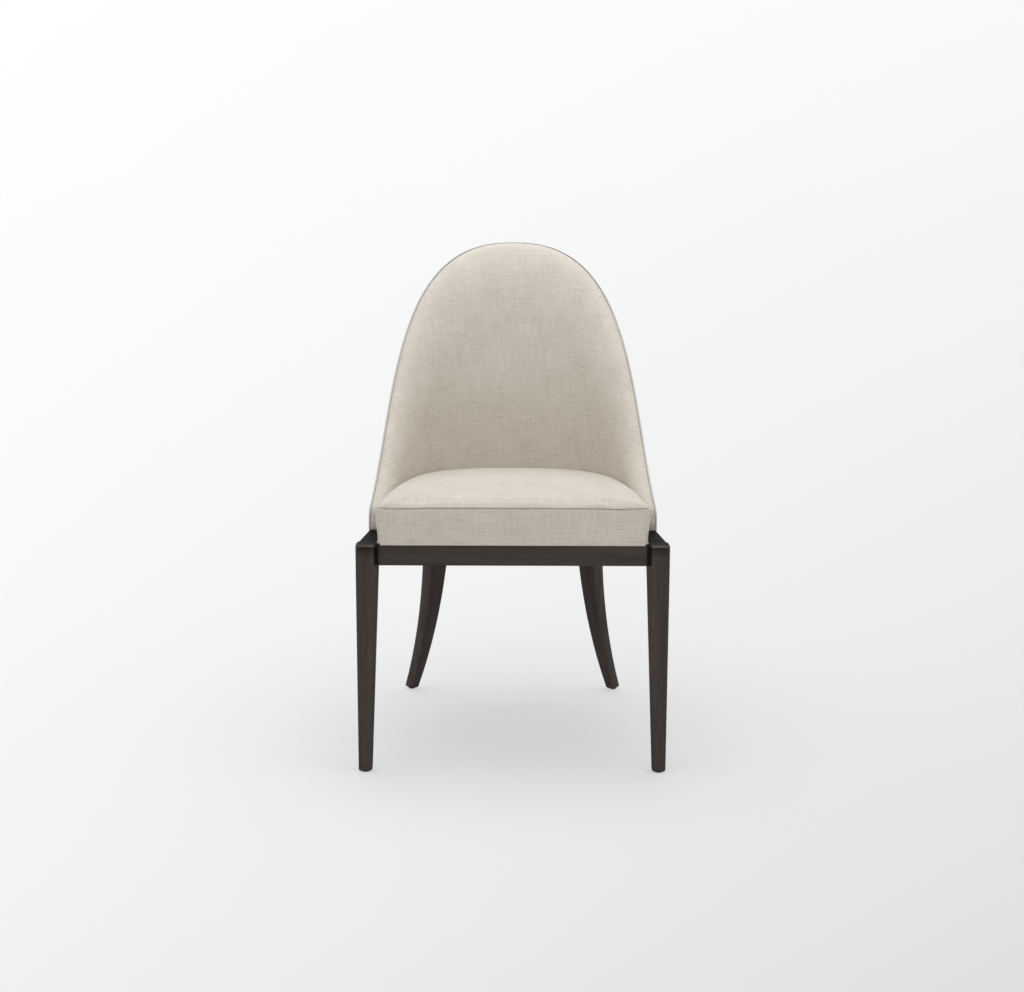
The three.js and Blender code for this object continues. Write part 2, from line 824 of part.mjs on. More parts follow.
// Distance from the outer face to the inner face of the padding
function padThickness(distance, height) {
  const rearShare = rearShareAt(distance);
  const seatThickness = THREE.MathUtils.lerp(sidePadThickness, rearPadSeatThickness, rearShare);
  const topThickness = THREE.MathUtils.lerp(sidePadThickness, rearPadTopThickness, rearShare);
  const heightShare = (height - railTop) / (backHeight - railTop);
  return THREE.MathUtils.lerp(seatThickness, topThickness, heightShare);
}

function onTub(distance, inset, height) {
  const plan = tubPlan.at(distance, inset);
  return new THREE.Vector3(plan.x, plan.y + (height - railTop) * recline, height);
}

// Places along the tub: close together round each wing's front end, then even
const tubMiddleDistances = evenSteps(noseDepth, tubLength - noseDepth, tubSteps);

function tubDistances(start, extra = []) {
  const front = [...noseShares.map((share) => share * noseDepth), ...extra]
    .filter((distance) => distance > start)
    .sort((a, b) => a - b);
  const left = [start, ...front];
  const right = left.map((distance) => tubLength - distance).reverse();
  return [...left, ...tubMiddleDistances, ...right];
}

// A body lofted along the tub from sections of inset and height
function tubBody(distances, section) {
  const sections = distances.map(section);
  const rings = sections.map((points, index) => (
    points.map((point) => onTub(distances[index], point.x, point.y))
  ));
  return loft(rings, sections[0], sections.at(-1));
}

// A layer of even thickness that stands on the rails and follows the edge at a drop below it
function tubLayer(start, outerInset, innerInset, drop) {
  return tubBody(tubDistances(start), (distance) => {
    const top = edgeHeight(distance) - drop * edgeStretch(distance);
    return [
      new THREE.Vector2(outerInset, upholsteryBottom),
      new THREE.Vector2(outerInset, top),
      new THREE.Vector2(innerInset, top),
      new THREE.Vector2(innerInset, upholsteryBottom),
    ];
  });
}

// Profile of the padding from beside the welt, round the roll and down the inner face.
// The skin is how far this surface lies inside the face of the cover.
function padProfile(distance, skin, bottom) {
  const top = edgeHeight(distance);
  const stretch = edgeStretch(distance);
  const nose = noseRounding - quarterRound(endDistance(distance), noseDepth, noseRounding);
  const crownInset = weltSeat + rollLead;
  const rollFall = rollFallAt(distance);
  const rollBottom = top - rollFall;
  const rollRise = rollFall - (rollDip + skin) * stretch;
  const face = (height) => padThickness(distance, height) - nose - skin;
  const points = [new THREE.Vector2(weltSeat + fitGap + skin, top - (weltRadius + skin) * stretch)];
  for (let step = 0; step <= rollSteps; step += 1) {
    const angle = (Math.PI / 2) * (1 - step / rollSteps);
    points.push(new THREE.Vector2(
      crownInset + (face(rollBottom) - crownInset) * Math.cos(angle),
      rollBottom + rollRise * Math.sin(angle) ** (1 / rollFullness),
    ));
  }
  for (let step = 1; step <= faceSteps; step += 1) {
    const height = THREE.MathUtils.lerp(rollBottom, bottom, step / faceSteps);
    points.push(new THREE.Vector2(face(height), height));
  }
  return points;
}

// Inner cover: linen and wadding that close the front ends, fold over the shell's edge beside
// the welt and line the inside of the tub
function backInnerCover() {
  const whole = tubBody(tubDistances(0, [weltSeat, weltSeat + fitGap]), (distance) => {
    const outer = endDistance(distance) > weltSeat + fitGap / 2 ? shellOuter : weltSeat;
    const fold = edgeHeight(distance) - weltSeat * edgeStretch(distance);
    return [
      new THREE.Vector2(outer, upholsteryBottom),
      new THREE.Vector2(outer, fold),
      new THREE.Vector2(weltSeat + fitGap, fold),
      ...padProfile(distance, 0, upholsteryBottom),
    ];
  });
  const core = tubBody(tubDistances(weltSeat), (distance) => {
    const fold = edgeHeight(distance) - (weltSeat + innerCoverThickness) * edgeStretch(distance);
    const bottom = upholsteryBottom - cutOverrun;
    return [
      new THREE.Vector2(-cutOverrun, bottom),
      new THREE.Vector2(-cutOverrun, fold),
      new THREE.Vector2(weltSeat + fitGap + innerCoverThickness, fold),
      ...padProfile(distance, innerCoverThickness, bottom),
    ];
  });
  return cut(whole, [core]);
}

function backFoam() {
  const skin = innerCoverThickness + fitGap;
  const body = tubBody(tubDistances(shellSetback), (distance) => {
    const top = edgeHeight(distance) - (weltSeat + innerCoverThickness) * edgeStretch(distance);
    return [
      new THREE.Vector2(baseRailOuter, upholsteryBottom),
      new THREE.Vector2(baseRailOuter, top),
      ...padProfile(distance, skin, upholsteryBottom),
    ];
  });
  return cut(body, [baseRailBody(fitGap)]);
}

function backOuterCover() {
  return tubLayer(weltSeat + fitGap, 0, outerCoverThickness, weltSeat + fitGap);
}

// Shell of moulded plywood, screwed to the base rail from outside
function backShell() {
  const body = tubLayer(
    shellSetback,
    shellOuter,
    shellOuter + shellThickness,
    weltSeat + innerCoverThickness + shellTopGap,
  );
  return cut(body, shellScrewList().flatMap((fixing) => screwWay(fixing, shellScrewSink + cutOverrun)));
}

// Base rail: a sawn strip inside the foot of the shell, bolted to the rails below
function baseRailBody(allowance) {
  const start = baseRailSetback - allowance;
  const between = tubMiddleDistances.filter((distance) => endDistance(distance) > start);
  const outer = allowance > 0 ? baseRailOuter - cutOverrun : baseRailOuter;
  const inner = baseRailOuter + baseRailWidth + allowance;
  const bottom = allowance > 0 ? upholsteryBottom - cutOverrun : upholsteryBottom;
  const top = baseRailTop + allowance;
  return tubBody([start, ...between, tubLength - start], () => [
    new THREE.Vector2(outer, bottom),
    new THREE.Vector2(outer, top),
    new THREE.Vector2(inner, top),
    new THREE.Vector2(inner, bottom),
  ]);
}

function backBaseRail() {
  const holes = [-1, 1].flatMap(boltPoints).flatMap((point) => [
    rod(boltRadius + fitGap, baseRailHeight + 3 * cutOverrun, point.clone().setZ(railTop - cutOverrun), up),
    rod(insertRadius + fitGap, insertLength + cutOverrun, point.clone().setZ(insertBottom - fitGap), up),
  ]);
  return cut(baseRailBody(0), [...holes, ...shellScrewList().map(screwPilot)]);
}

function shellScrewList() {
  const height = upholsteryBottom + baseRailHeight / 2;
  return shellScrewShares.map((share) => {
    const distance = tubMiddleDistances[Math.round(share * tubSteps)];
    const inward = tubPlan.inward(distance);
    return {
      seat: onTub(distance, shellOuter + shellScrewSink, height),
      direction: new THREE.Vector3(inward.x, inward.y, 0),
      length: shellThickness - shellScrewSink + fitGap + shellScrewBite,
    };
  });
}

// Welt: a corded piping up the front of each wing and along the whole edge of the back
function backWelt() {
  const distances = tubDistances(0);
  const edge = distances.map((distance) => new THREE.Vector2(distance, edgeHeight(distance)));
  const outline = [
    new THREE.Vector2(0, upholsteryBottom),
    ...edge,
    new THREE.Vector2(tubLength, upholsteryBottom),
  ];
  const section = Array.from({ length: weltSides }, (_, side) => {
    const angle = (2 * Math.PI * side) / weltSides;
    return new THREE.Vector2(Math.cos(angle), Math.sin(angle));
  });
  const rings = outline.map((corner, index) => {
    const before = outline[Math.max(index - 1, 0)];
    const after = outline[Math.min(index + 1, outline.length - 1)];
    const incoming = index > 0 ? normalOf(before, corner) : normalOf(corner, after);
    const outgoing = index < outline.length - 1 ? normalOf(corner, after) : incoming;
    const inward = incoming.clone().add(outgoing).normalize();
    const reach = weltRadius / inward.dot(incoming);
    return section.map((point) => onTub(
      corner.x + inward.x * reach * (1 + point.y),
      weltRadius * (1 + point.x),
      corner.y + inward.y * reach * (1 + point.y),
    ));
  });
  return loft(rings, section, section);
}

// Unit direction to the right of the way from one outline point to the next, into the wall
function normalOf(from, to) {
  const way = new THREE.Vector2().subVectors(to, from).normalize();
  return new THREE.Vector2(way.y, -way.x);
}

// Bolts of the back, up through the rails into threaded inserts in the base rail

function boltPoints(side) {
  return [...sideBoltDistances, rearBoltDistance].map((distance) => boltPoint(distance, side));
}

function boltPoint(distance, side) {
  const point = railPlan.at(distance, boltInset);
  return new THREE.Vector3(-side * point.x, point.y, 0);
}

function boltHole(point) {
  const start = point.clone().setZ(railBottom - cutOverrun);
  const pocket = rod(boltFlangeRadius + 2 * fitGap, boltPocketDepth + cutOverrun, start, up);
  const way = rod(boltRadius + fitGap, railHeight + 2 * cutOverrun, start, up);
  return join(pocket, [way]);
}

// Hexagon bolt whose head has a flange that bears on the top of its pocket
function bolt() {
  const flangeBottom = boltSeat - boltFlangeThickness;
  const flangeMiddle = boltSeat - boltFlangeThickness / 2;
  const headBottom = flangeBottom - boltHeadHeight;
  const tip = baseRailTop - boltTipDepth;
  const at = (height) => new THREE.Vector3(0, 0, height);
  const head = rod(boltHeadRadius, flangeMiddle - headBottom, at(headBottom), up, hexagonSides);
  const flange = rod(boltFlangeRadius, boltFlangeThickness, at(flangeBottom), up);
  const shank = rod(boltRadius, tip - flangeMiddle, at(flangeMiddle), up);
  return join(head, [flange, shank]);
}

function insert() {
  const inner = boltRadius + fitGap;
  return turned([
    [inner, 0],
    [insertRadius, 0],
    [insertRadius, insertLength],
    [inner, insertLength],
    [inner, 0],
  ], new THREE.Vector3(0, 0, insertBottom), up, roundSides);
}

// Seat

// The height of a place in the seat, which slopes down to the rear above its level deck
function rakedHeight(depth, height) {
  const depthShare = (depth - seatFront) / (seatRear - seatFront);
  const heightShare = Math.max(0, (height - foamBottom) / (seam - foamBottom));
  return height - seatRake * depthShare * heightShare;
}

// Plan of the seat at a height: two front corners, straight sides, then the inside of the tub
function seatOutline(height) {
  const tub = [0, ...tubMiddleDistances, tubLength].map((distance) => {
    const onPad = (level) => onTub(distance, padThickness(distance, level) + seatClearance, level);
    const point = onPad(rakedHeight(onPad(height).y, height));
    return new THREE.Vector2(point.x, point.y);
  });
  const cornerX = seatHalfWidth - seatCornerRadius;
  const cornerY = seatFront + seatCornerRadius;
  const corner = cornerShares.map((share) => {
    const angle = (Math.PI / 2) * share;
    return new THREE.Vector2(
      cornerX + seatCornerRadius * Math.cos(angle),
      cornerY - seatCornerRadius * Math.sin(angle),
    );
  });
  const wingEnd = tub.at(-1);
  const rightSide = sideShares.map((share) => wingEnd.clone().lerp(corner[0], share));
  const rightFront = frontShares.map((share) => new THREE.Vector2(cornerX * (1 - share), seatFront));
  const right = [...rightSide, ...corner, ...rightFront];
  const left = right.slice(0, -1).map(mirrored).reverse();
  return [...tub, ...right, ...left];
}

// A ring of the seat, drawn in towards the seat's middle
function seatRing(outlineHeight, inset, height) {
  const share = 1 - inset / seatHalfWidth;
  return seatOutline(outlineHeight).map((point) => {
    const depth = seatMiddleDepth + (point.y - seatMiddleDepth) * share;
    return new THREE.Vector3(point.x * share, depth, rakedHeight(depth, height));
  });
}

// How far the boxed side is drawn in at a height, least at its fullest place
function bandInset(height) {
  const share = (height - railTop) / seatBandHeight;
  return seatDrawIn * ((share - bandFullShare) / bandFullShare) ** 2;
}

// The seat's form: boxed sides, a rolled top edge and a crown, all inside the cover's face by the skin
function seatBody(skin, bottom) {
  const bandTop = seam - skin;
  const rings = evenSteps(bottom, bandTop, bandSteps).map((height) => {
    const level = Math.max(height, railTop);
    return seatRing(level, bandInset(level) + skin, height);
  });
  const edgeInset = bandInset(bandTop) + skin;
  for (let step = 1; step <= seatRollSteps; step += 1) {
    const angle = (Math.PI / 2) * (step / seatRollSteps);
    const height = bandTop + seatEdgeRise * Math.sin(angle);
    rings.push(seatRing(seam, edgeInset + seatEdgeRoll * (1 - Math.cos(angle)), height));
  }
  const crownInset = edgeInset + seatEdgeRoll;
  const crownBase = bandTop + seatEdgeRise;
  for (const share of crownShares) {
    const inset = THREE.MathUtils.lerp(crownInset, seatHalfWidth, share);
    rings.push(seatRing(seam, inset, crownBase + seatCrown * (1 - (1 - share) ** 2)));
  }
  return stack(
    rings,
    new THREE.Vector3(0, seatMiddleDepth, bottom),
    new THREE.Vector3(0, seatMiddleDepth, rakedHeight(seatMiddleDepth, crownBase + seatCrown)),
  );
}

function seatCover() {
  return cut(seatBody(0, upholsteryBottom), [seatBody(seatCoverThickness, upholsteryBottom - cutOverrun)]);
}

function seatFoam() {
  return seatBody(seatCoverThickness + fitGap, foamBottom);
}

// Dust cloth tacked under the rails, notched round the legs
function dustCloth() {
  const top = railBottom - fitGap;
  const lapped = (distance) => railPlan.at(distance, dustClothLap);
  const leftAndRear = [...sideRailDistances, ...rearRailDistances.slice(1, -1)].map(lapped);
  const right = sideRailDistances.map(lapped).map(mirrored).reverse();
  const notch = frontLegDepth + dustClothLegGap;
  const notches = [-1, 1].flatMap((side) => {
    const inner = frontLegInnerHalf - dustClothLegGap;
    const outer = planHalfWidth + cutOverrun;
    return [
      box(
        new THREE.Vector3(side < 0 ? -outer : inner, -cutOverrun, top - dustClothThickness - cutOverrun),
        new THREE.Vector3(side < 0 ? -inner : outer, notch, top + cutOverrun),
      ),
      rearLegEnvelope(side, dustClothLegGap, rearLegThickness / 2 + dustClothLegGap),
    ];
  });
  return cut(prism([...leftAndRear, ...right], top - dustClothThickness, top), notches);
}

// Assembly

function piece(name, geometry, surface, place = new THREE.Vector3()) {
  const mesh = new THREE.Mesh(geometry, surface);
  mesh.name = name;
  mesh.position.copy(place);
  return mesh;
}

function pair(build) {
  return [[-1, 'left'], [1, 'right']].flatMap(([side, word]) => build(side, word));
}

function group(pieces) {
  return new THREE.Group().add(...pieces);
}

// Alike fasteners, numbered from the front
function fasteners(name, geometries, surface, places = []) {
  return geometries.map((geometry, index) => (
    piece(`${name}_${index + 1}`, geometry, surface(), places[index])
  ));
}

const seatFrame = group([
  ...pair((side, word) => [
    piece(`front_leg_${word}`, frontLeg(side), espressoWood()),
    piece(`rear_leg_${word}`, rearLeg(side), espressoWood()),
    piece(`side_rail_${word}`, sideRail(side), espressoWood()),
    piece(`corner_block_front_${word}`, frontBlock(side), espressoWood()),
    piece(`corner_block_rear_${word}`, rearBlock(side), beech()),
    piece(`glide_front_${word}`, glide(frontGlideRadius), nylon(), frontFootMiddle(side)),
    piece(`glide_rear_${word}`, glide(rearGlideRadius), nylon(), rearFootMiddle(side)),
    ...fasteners(`block_screw_${word}`, blockScrews(side).map(screw), zincSteel),
  ]),
  piece('front_rail', frontRail(), espressoWood()),
  piece('rear_rail', rearRail(), espressoWood()),
  piece('dust_cloth', dustCloth(), blackCloth()),
]);

const seat = group([
  piece('seat_deck', deck(), plywood()),
  piece('seat_foam', seatFoam(), foam()),
  piece('seat_cover', seatCover(), linen()),
  ...pair((side, word) => fasteners(`deck_screw_${word}`, deckScrews(side).map(screw), zincSteel)),
]);

const back = group([
  piece('back_base_rail', backBaseRail(), plywood()),
  piece('back_shell', backShell(), plywood()),
  piece('back_foam', backFoam(), foam()),
  piece('back_inner_cover', backInnerCover(), linen()),
  piece('back_outer_cover', backOuterCover(), linen()),
  piece('back_welt', backWelt(), weltCloth()),
  ...fasteners('back_shell_screw', shellScrewList().map(screw), zincSteel),
  ...pair((side, word) => [
    ...fasteners(`back_bolt_${word}`, boltPoints(side).map(bolt), zincSteel, boltPoints(side)),
    ...fasteners(`back_bolt_insert_${word}`, boltPoints(side).map(insert), zincSteel, boltPoints(side)),
  ]),
]);

// The chair stands with its origin on the floor, under the middle of its outer size
const chair = group([seatFrame, seat, back]);
const extent = new THREE.Box3().setFromObject(chair, true);
chair.position.y = -(extent.min.y + extent.max.y) / 2;

export default chair;
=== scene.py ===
"""Klismos dining chair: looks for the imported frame, in metres and in its frame."""

import math  # noqa: E402

import bpy  # noqa: E402
import numpy as np  # noqa: E402
from mathutils import Matrix, Vector, kdtree  # noqa: E402


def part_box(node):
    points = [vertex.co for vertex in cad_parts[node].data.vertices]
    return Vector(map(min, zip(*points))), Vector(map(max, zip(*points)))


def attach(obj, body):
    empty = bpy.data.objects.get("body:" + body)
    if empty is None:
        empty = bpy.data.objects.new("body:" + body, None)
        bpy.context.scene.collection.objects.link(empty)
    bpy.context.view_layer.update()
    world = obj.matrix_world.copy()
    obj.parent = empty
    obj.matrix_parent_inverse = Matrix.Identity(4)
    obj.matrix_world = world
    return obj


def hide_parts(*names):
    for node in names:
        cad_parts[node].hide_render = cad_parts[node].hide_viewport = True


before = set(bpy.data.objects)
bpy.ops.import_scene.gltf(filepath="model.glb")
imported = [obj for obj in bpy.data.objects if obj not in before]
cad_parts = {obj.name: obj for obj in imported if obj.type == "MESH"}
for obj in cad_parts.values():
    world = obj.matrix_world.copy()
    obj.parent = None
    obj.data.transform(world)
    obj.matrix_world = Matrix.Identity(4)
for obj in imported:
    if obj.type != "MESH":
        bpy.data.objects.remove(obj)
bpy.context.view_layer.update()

MM = 0.001
FRONT_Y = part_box("front_leg_left")[0].y

# Sizes of the tub and the seat, in millimetres, as in the CAD part
RAIL_TOP = 428
PLAN_HALF_WIDTH = 285.4
PLAN_DEPTH = 556
TOE_IN = math.tan(math.radians(5.77))
DEPTH_POWER = 6.19
WIDTH_POWER = 2.4
PLAN_SPREAD = 3
RECLINE = math.tan(math.radians(8))
WING_FRONT = 142
WING_HEIGHT = 466
WING_CORNER_RADIUS = 14
BACK_HEIGHT = 943.4
SWEEP_HANDLES = ((0.364, 0.1615), (0.5222, 0.4177))
GAP = 0.3
COVER_BOTTOM = RAIL_TOP + GAP
COVER_THICKNESS = 2.5
SHELL_OUTER = 2.8
SHELL_INNER = 11.1
SHELF_DROP = 9.6
BASE_RAIL_INNER = 27.4
BASE_RAIL_TOP = 446.6
BASE_RAIL_START = 19
WELT_RADIUS = 1.75
WELT_SEAT = 2 * WELT_RADIUS + GAP
SIDE_PAD = 34
REAR_PAD_LOW = 60
REAR_PAD_HIGH = 50
ROLL_DEPTH = 36
REAR_ROLL_DEPTH = 190
ROLL_POWER = 1.6
ROLL_LEAD = 6
ROLL_DIP = 1
ROLL_SHARE = 0.85
NOSE_DEPTH = 16
NOSE_ROUNDING = 14
FACE_FOOT = 4
NOSE_SOLID = 6
SEAT_FRONT = 8
SEAT_REAR = PLAN_DEPTH - REAR_PAD_LOW
SEAT_MIDDLE = (SEAT_FRONT + SEAT_REAR) / 2
SEAT_HALF_WIDTH = 246.8
SEAT_CORNER_RADIUS = 7
SEAT_SEAM = 495
SEAT_RAKE = 11
SEAT_CLEARANCE = 0.8
FOAM_BOTTOM = 440.6

# Forms of the stuffing that the scene alone has, in millimetres
BACK_SWELL = 13
BACK_SWELL_LOW = 490
BACK_SWELL_LEAN = 0.75
NOSE_BULGE = 1.6
NOSE_END_MARGIN = 10
NOSE_LEAST_SHARE = 0.05
SEAM_LIFT = 0.6
SEAT_ROLL = 4.5
SEAT_ROLL_RISE = 8.2
SEAT_CROWN = 11.5
HANG_HALF_WIDTH = 242.2
HANG_FADE = 2.4
FLANK_SWELL = 1.9
FLANK_END = 128
FLANK_FADE = 40

# Steps of the meshes
PLAN_STEPS = 8001
SWEEP_STEPS = 1201
STATION_STEP = 3.0
NOSE_STATIONS = 13
NOSE_RINGS = 7
SHOULDER_STEPS = 5
ROLL_STEPS = 22
FACE_STEPS = 34
SEAT_BACK_STEPS = 220
SEAT_CORNER_STEPS = 9
SEAT_SIDE_STEPS = 34
SEAT_FRONT_STEPS = 122
SEAT_TOP_RINGS = 56
SEAT_RING_SPREAD = 1.8
SEAT_EVENING = 0.9
ROUNDED_STEPS = 2048
COVER_STEPS = 60
COVER_INNER_EVERY = 6
WELT_CORNER_STEPS = 25
WELT_EDGE_STEPS = 330
WELT_FOOT_STEPS = 11
WELT_SIDES = 14
DUST_RAYS = 360
DUST_RINGS = 26

# Plan curves


class Plan:
    """The tub in plan, from the left front end round the rear to the right one."""

    def __init__(self, front_depth):
        front = math.asin((front_depth / PLAN_DEPTH) ** (DEPTH_POWER / 2))
        share = (front / (math.pi / 2)) ** (1 / PLAN_SPREAD)
        t = np.linspace(0, 1, PLAN_STEPS)
        turn = 1 + (share - 1) * np.abs(2 * t - 1)
        angle = math.pi / 2 * turn**PLAN_SPREAD
        depth = PLAN_DEPTH * np.sin(angle) ** (2 / DEPTH_POWER)
        cosine = np.cos(angle).clip(0, None)
        half = (PLAN_HALF_WIDTH - TOE_IN * depth) * cosine ** (2 / WIDTH_POWER)
        self.points = np.stack([np.sign(t - 0.5) * half, depth], 1)
        step = np.linalg.norm(np.diff(self.points, axis=0), axis=1)
        self.run = np.concatenate([[0], np.cumsum(step)])
        self.length = self.run[-1]
        self.tangent = np.gradient(self.points, self.run, axis=0)
        self.tangent /= np.linalg.norm(self.tangent, axis=1)[:, None]

    def at(self, distance, inset):
        """Plan point at a distance and an inset; past the ends it runs on straight."""
        distance = np.asarray(distance, float)
        inside = distance.clip(0, self.length)
        point = [np.interp(inside, self.run, self.points[:, k]) for k in (0, 1)]
        way = [np.interp(inside, self.run, self.tangent[:, k]) for k in (0, 1)]
        over = distance - inside
        x = point[0] + way[0] * over + way[1] * inset
        y = point[1] + way[1] * over - way[0] * inset
        return x, y

    def depth(self, distance):
        inside = np.clip(distance, 0, self.length)
        return np.interp(inside, self.run, self.points[:, 1])


tub = Plan(WING_FRONT)


def on_tub(distance, inset, height):
    """Points of the reclining tub in metres."""
    distance, inset, height = np.broadcast_arrays(
        np.asarray(distance, float), np.asarray(inset, float), np.asarray(height, float)
    )
    x, y = tub.at(distance, inset)
    y = y + (height - RAIL_TOP) * RECLINE
    return np.stack([x * MM, y * MM + FRONT_Y, height * MM], -1)


def sweep_table():
    """Depth and height along the sweep from the wing to the top of the back."""
    start = np.array([WING_FRONT, WING_HEIGHT], float)
    end = np.array([PLAN_DEPTH, BACK_HEIGHT], float)
    low, high = (start + (end - start) * np.array(share) for share in SWEEP_HANDLES)
    t = np.linspace(0, 1, SWEEP_STEPS)[:, None]
    return (
        (1 - t) ** 3 * start
        + 3 * (1 - t) ** 2 * t * low
        + 3 * (1 - t) * t**2 * high
        + t**3 * end
    )


SWEEP = sweep_table()


def end_run(distance):
    """Distance along the tub from the nearer of its front ends."""
    return np.minimum(distance, tub.length - distance)


def rear_share(depth):
    """How far back a depth is: 0 at the wings' front ends and 1 at the rear."""
    return ((depth - WING_FRONT) / (PLAN_DEPTH - WING_FRONT)) ** 2


def quarter_round(run, length, rise):
    share = np.clip(run / length, 0, 1)
    return rise * np.sqrt(1 - (1 - share) ** 2)


def edge_height(distance):
    corner = WING_CORNER_RADIUS - quarter_round(
        end_run(distance), WING_CORNER_RADIUS, WING_CORNER_RADIUS
    )
    return np.interp(tub.depth(distance), SWEEP[:, 0], SWEEP[:, 1]) - corner


def edge_stretch(distance):
    """How much longer a size square to the sloping edge is when measured upright."""
    reach = 2 * WELT_RADIUS
    place = np.maximum(end_run(distance), WELT_SEAT)
    slope = (edge_height(place) - edge_height(place - reach)) / reach
    return np.hypot(1, slope)


def pad_thickness(distance, height):
    rear = rear_share(tub.depth(distance))
    low = SIDE_PAD + (REAR_PAD_LOW - SIDE_PAD) * rear
    high = SIDE_PAD + (REAR_PAD_HIGH - SIDE_PAD) * rear
    # the stuffing swells in the middle of the back
    share = np.clip((height - BACK_SWELL_LOW) / (BACK_HEIGHT - BACK_SWELL_LOW), 0, 1)
    swell = BACK_SWELL * rear * np.sin(math.pi * share**BACK_SWELL_LEAN) ** 2
    return low + (high - low) * (height - RAIL_TOP) / (BACK_HEIGHT - RAIL_TOP) + swell


def smooth_step(share):
    return share**2 * (3 - 2 * share)


# Meshes


def new_object(name, points, faces, uv=None, smooth=True):
    mesh = bpy.data.meshes.new(name)
    mesh.from_pydata([tuple(p) for p in points], [], [tuple(f) for f in faces])
    if smooth:
        mesh.polygons.foreach_set("use_smooth", [True] * len(mesh.polygons))
    if uv is not None:
        layer = mesh.uv_layers.new(name="weave")
        loops = np.empty(len(mesh.loops), np.int32)
        mesh.loops.foreach_get("vertex_index", loops)
        layer.data.foreach_set("uv", np.asarray(uv, np.float32)[loops].ravel())
    mesh.validate()
    mesh.update()
    thing = bpy.data.objects.new(name, mesh)
    bpy.context.scene.collection.objects.link(thing)
    return thing


def read_vertices(mesh, what="co"):
    values = np.empty(len(mesh.vertices) * 3)
    mesh.vertices.foreach_get(what, values)
    return values.reshape(-1, 3)


def tube_faces(rings, around):
    """Faces between rings of points that each close on themselves."""
    faces = []
    for i in range(rings - 1):
        a, b = i * around, (i + 1) * around
        for j in range(around):
            k = (j + 1) % around
            faces.append((a + j, a + k, b + k, b + j))
    return faces


def facing_out(points, faces):
    """The faces turned so that they face out of the closed body."""
    points = np.asarray(points)
    fans = [(f[0], f[k], f[k + 1]) for f in faces for k in range(1, len(f) - 1)]
    a, b, c = (points[np.array(corner)] for corner in zip(*fans))
    volume = (a * np.cross(b, c)).sum()
    return faces if volume > 0 else [tuple(reversed(f)) for f in faces]


def loft(name, rings, uv):
    """Closed body through rings (n, m, 3) with flat ends."""
    n, m = rings.shape[:2]
    points = rings.reshape(-1, 3)
    faces = tube_faces(n, m)
    faces.append(tuple(reversed(range(m))))
    faces.append(tuple(range((n - 1) * m, n * m)))
    return new_object(name, points, facing_out(points, faces), uv.reshape(-1, 2))


# Nodes


def put(tree, node, inputs):
    """Sets or links a node's inputs, given by name or by number."""
    for key, value in inputs.items():
        if isinstance(value, bpy.types.NodeSocket):
            tree.links.new(value, node.inputs[key])
        else:
            node.inputs[key].default_value = value


def add(tree, kind, inputs=None, **settings):
    node = tree.nodes.new(kind)
    for key, value in settings.items():
        setattr(node, key, value)
    put(tree, node, inputs or {})
    return node


def maths(tree, operation, *values, clamp=False):
    inputs = dict(enumerate(values))
    return add(
        tree, "ShaderNodeMath", inputs, operation=operation, use_clamp=clamp
    ).outputs[0]


def product(tree, first, *others):
    for other in others:
        first = maths(tree, "MULTIPLY", first, other)
    return first


def weighted(tree, *terms):
    """The sum of sockets times their weights."""
    total = product(tree, *terms[0])
    for term in terms[1:]:
        total = maths(tree, "ADD", total, product(tree, *term))
    return total


def held(tree, value, limit):
    return maths(tree, "MINIMUM", maths(tree, "MAXIMUM", value, -limit), limit)


def vector_maths(tree, operation, inputs, output=0):
    node = add(tree, "ShaderNodeVectorMath", inputs, operation=operation)
    return node.outputs[output]


def ranged(tree, value, start, end, low=0.0, high=1.0, **settings):
    """The value carried over from one range to another, and held inside it."""
    limits = {
        "Value": value,
        "From Min": start,
        "From Max": end,
        "To Min": low,
        "To Max": high,
    }
    return add(tree, "ShaderNodeMapRange", limits, **settings).outputs[0]


def shaded(tree, colour, value, start, end, share):
    """The colour, going to a share of itself as the value goes from start to end."""
    amount = ranged(tree, value, start, end, 1.0, share)
    return vector_maths(tree, "SCALE", {0: colour, "Scale": amount})


def split(tree, vector):
    return add(tree, "ShaderNodeSeparateXYZ", {"Vector": vector}).outputs


def object_place(tree):
    return add(tree, "ShaderNodeTexCoord").outputs["Object"]


def noise(tree, vector, scale, detail=2.0, roughness=0.5):
    mapping = add(tree, "ShaderNodeMapping", {"Vector": vector, "Scale": scale})
    settings = {
        "Vector": mapping.outputs[0],
        "Scale": 1.0,
        "Detail": detail,
        "Roughness": roughness,
    }
    return add(tree, "ShaderNodeTexNoise", settings).outputs["Fac"]


def ramp(tree, factor, first, last, middle=None):
    """Colours that follow a factor, each stop with its position."""
    node = add(tree, "ShaderNodeValToRGB", {"Fac": factor})
    elements = node.color_ramp.elements
    elements[0].position, elements[0].color = first
    elements[1].position, elements[1].color = last
    if middle:
        elements.new(middle[0]).color = middle[1]
    return node.outputs["Color"]


def relief(tree, height, strength, distance):
    settings = {"Height": height, "Strength": strength, "Distance": distance}
    return add(tree, "ShaderNodeBump", settings).outputs["Normal"]


def node_material(name):
    material = bpy.data.materials.new(name)
    material.use_nodes = True
    tree = material.node_tree
    tree.nodes.clear()
    shader = tree.nodes.new("ShaderNodeBsdfPrincipled")
    output = tree.nodes.new("ShaderNodeOutputMaterial")
    tree.links.new(shader.outputs["BSDF"], output.inputs["Surface"])
    return material, tree, shader


def srgb(r, g, b):
    def line(c):
        c /= 255
        return c / 12.92 if c <= 0.04045 else ((c + 0.055) / 1.055) ** 2.4

    return (line(r), line(g), line(b), 1)


# Materials

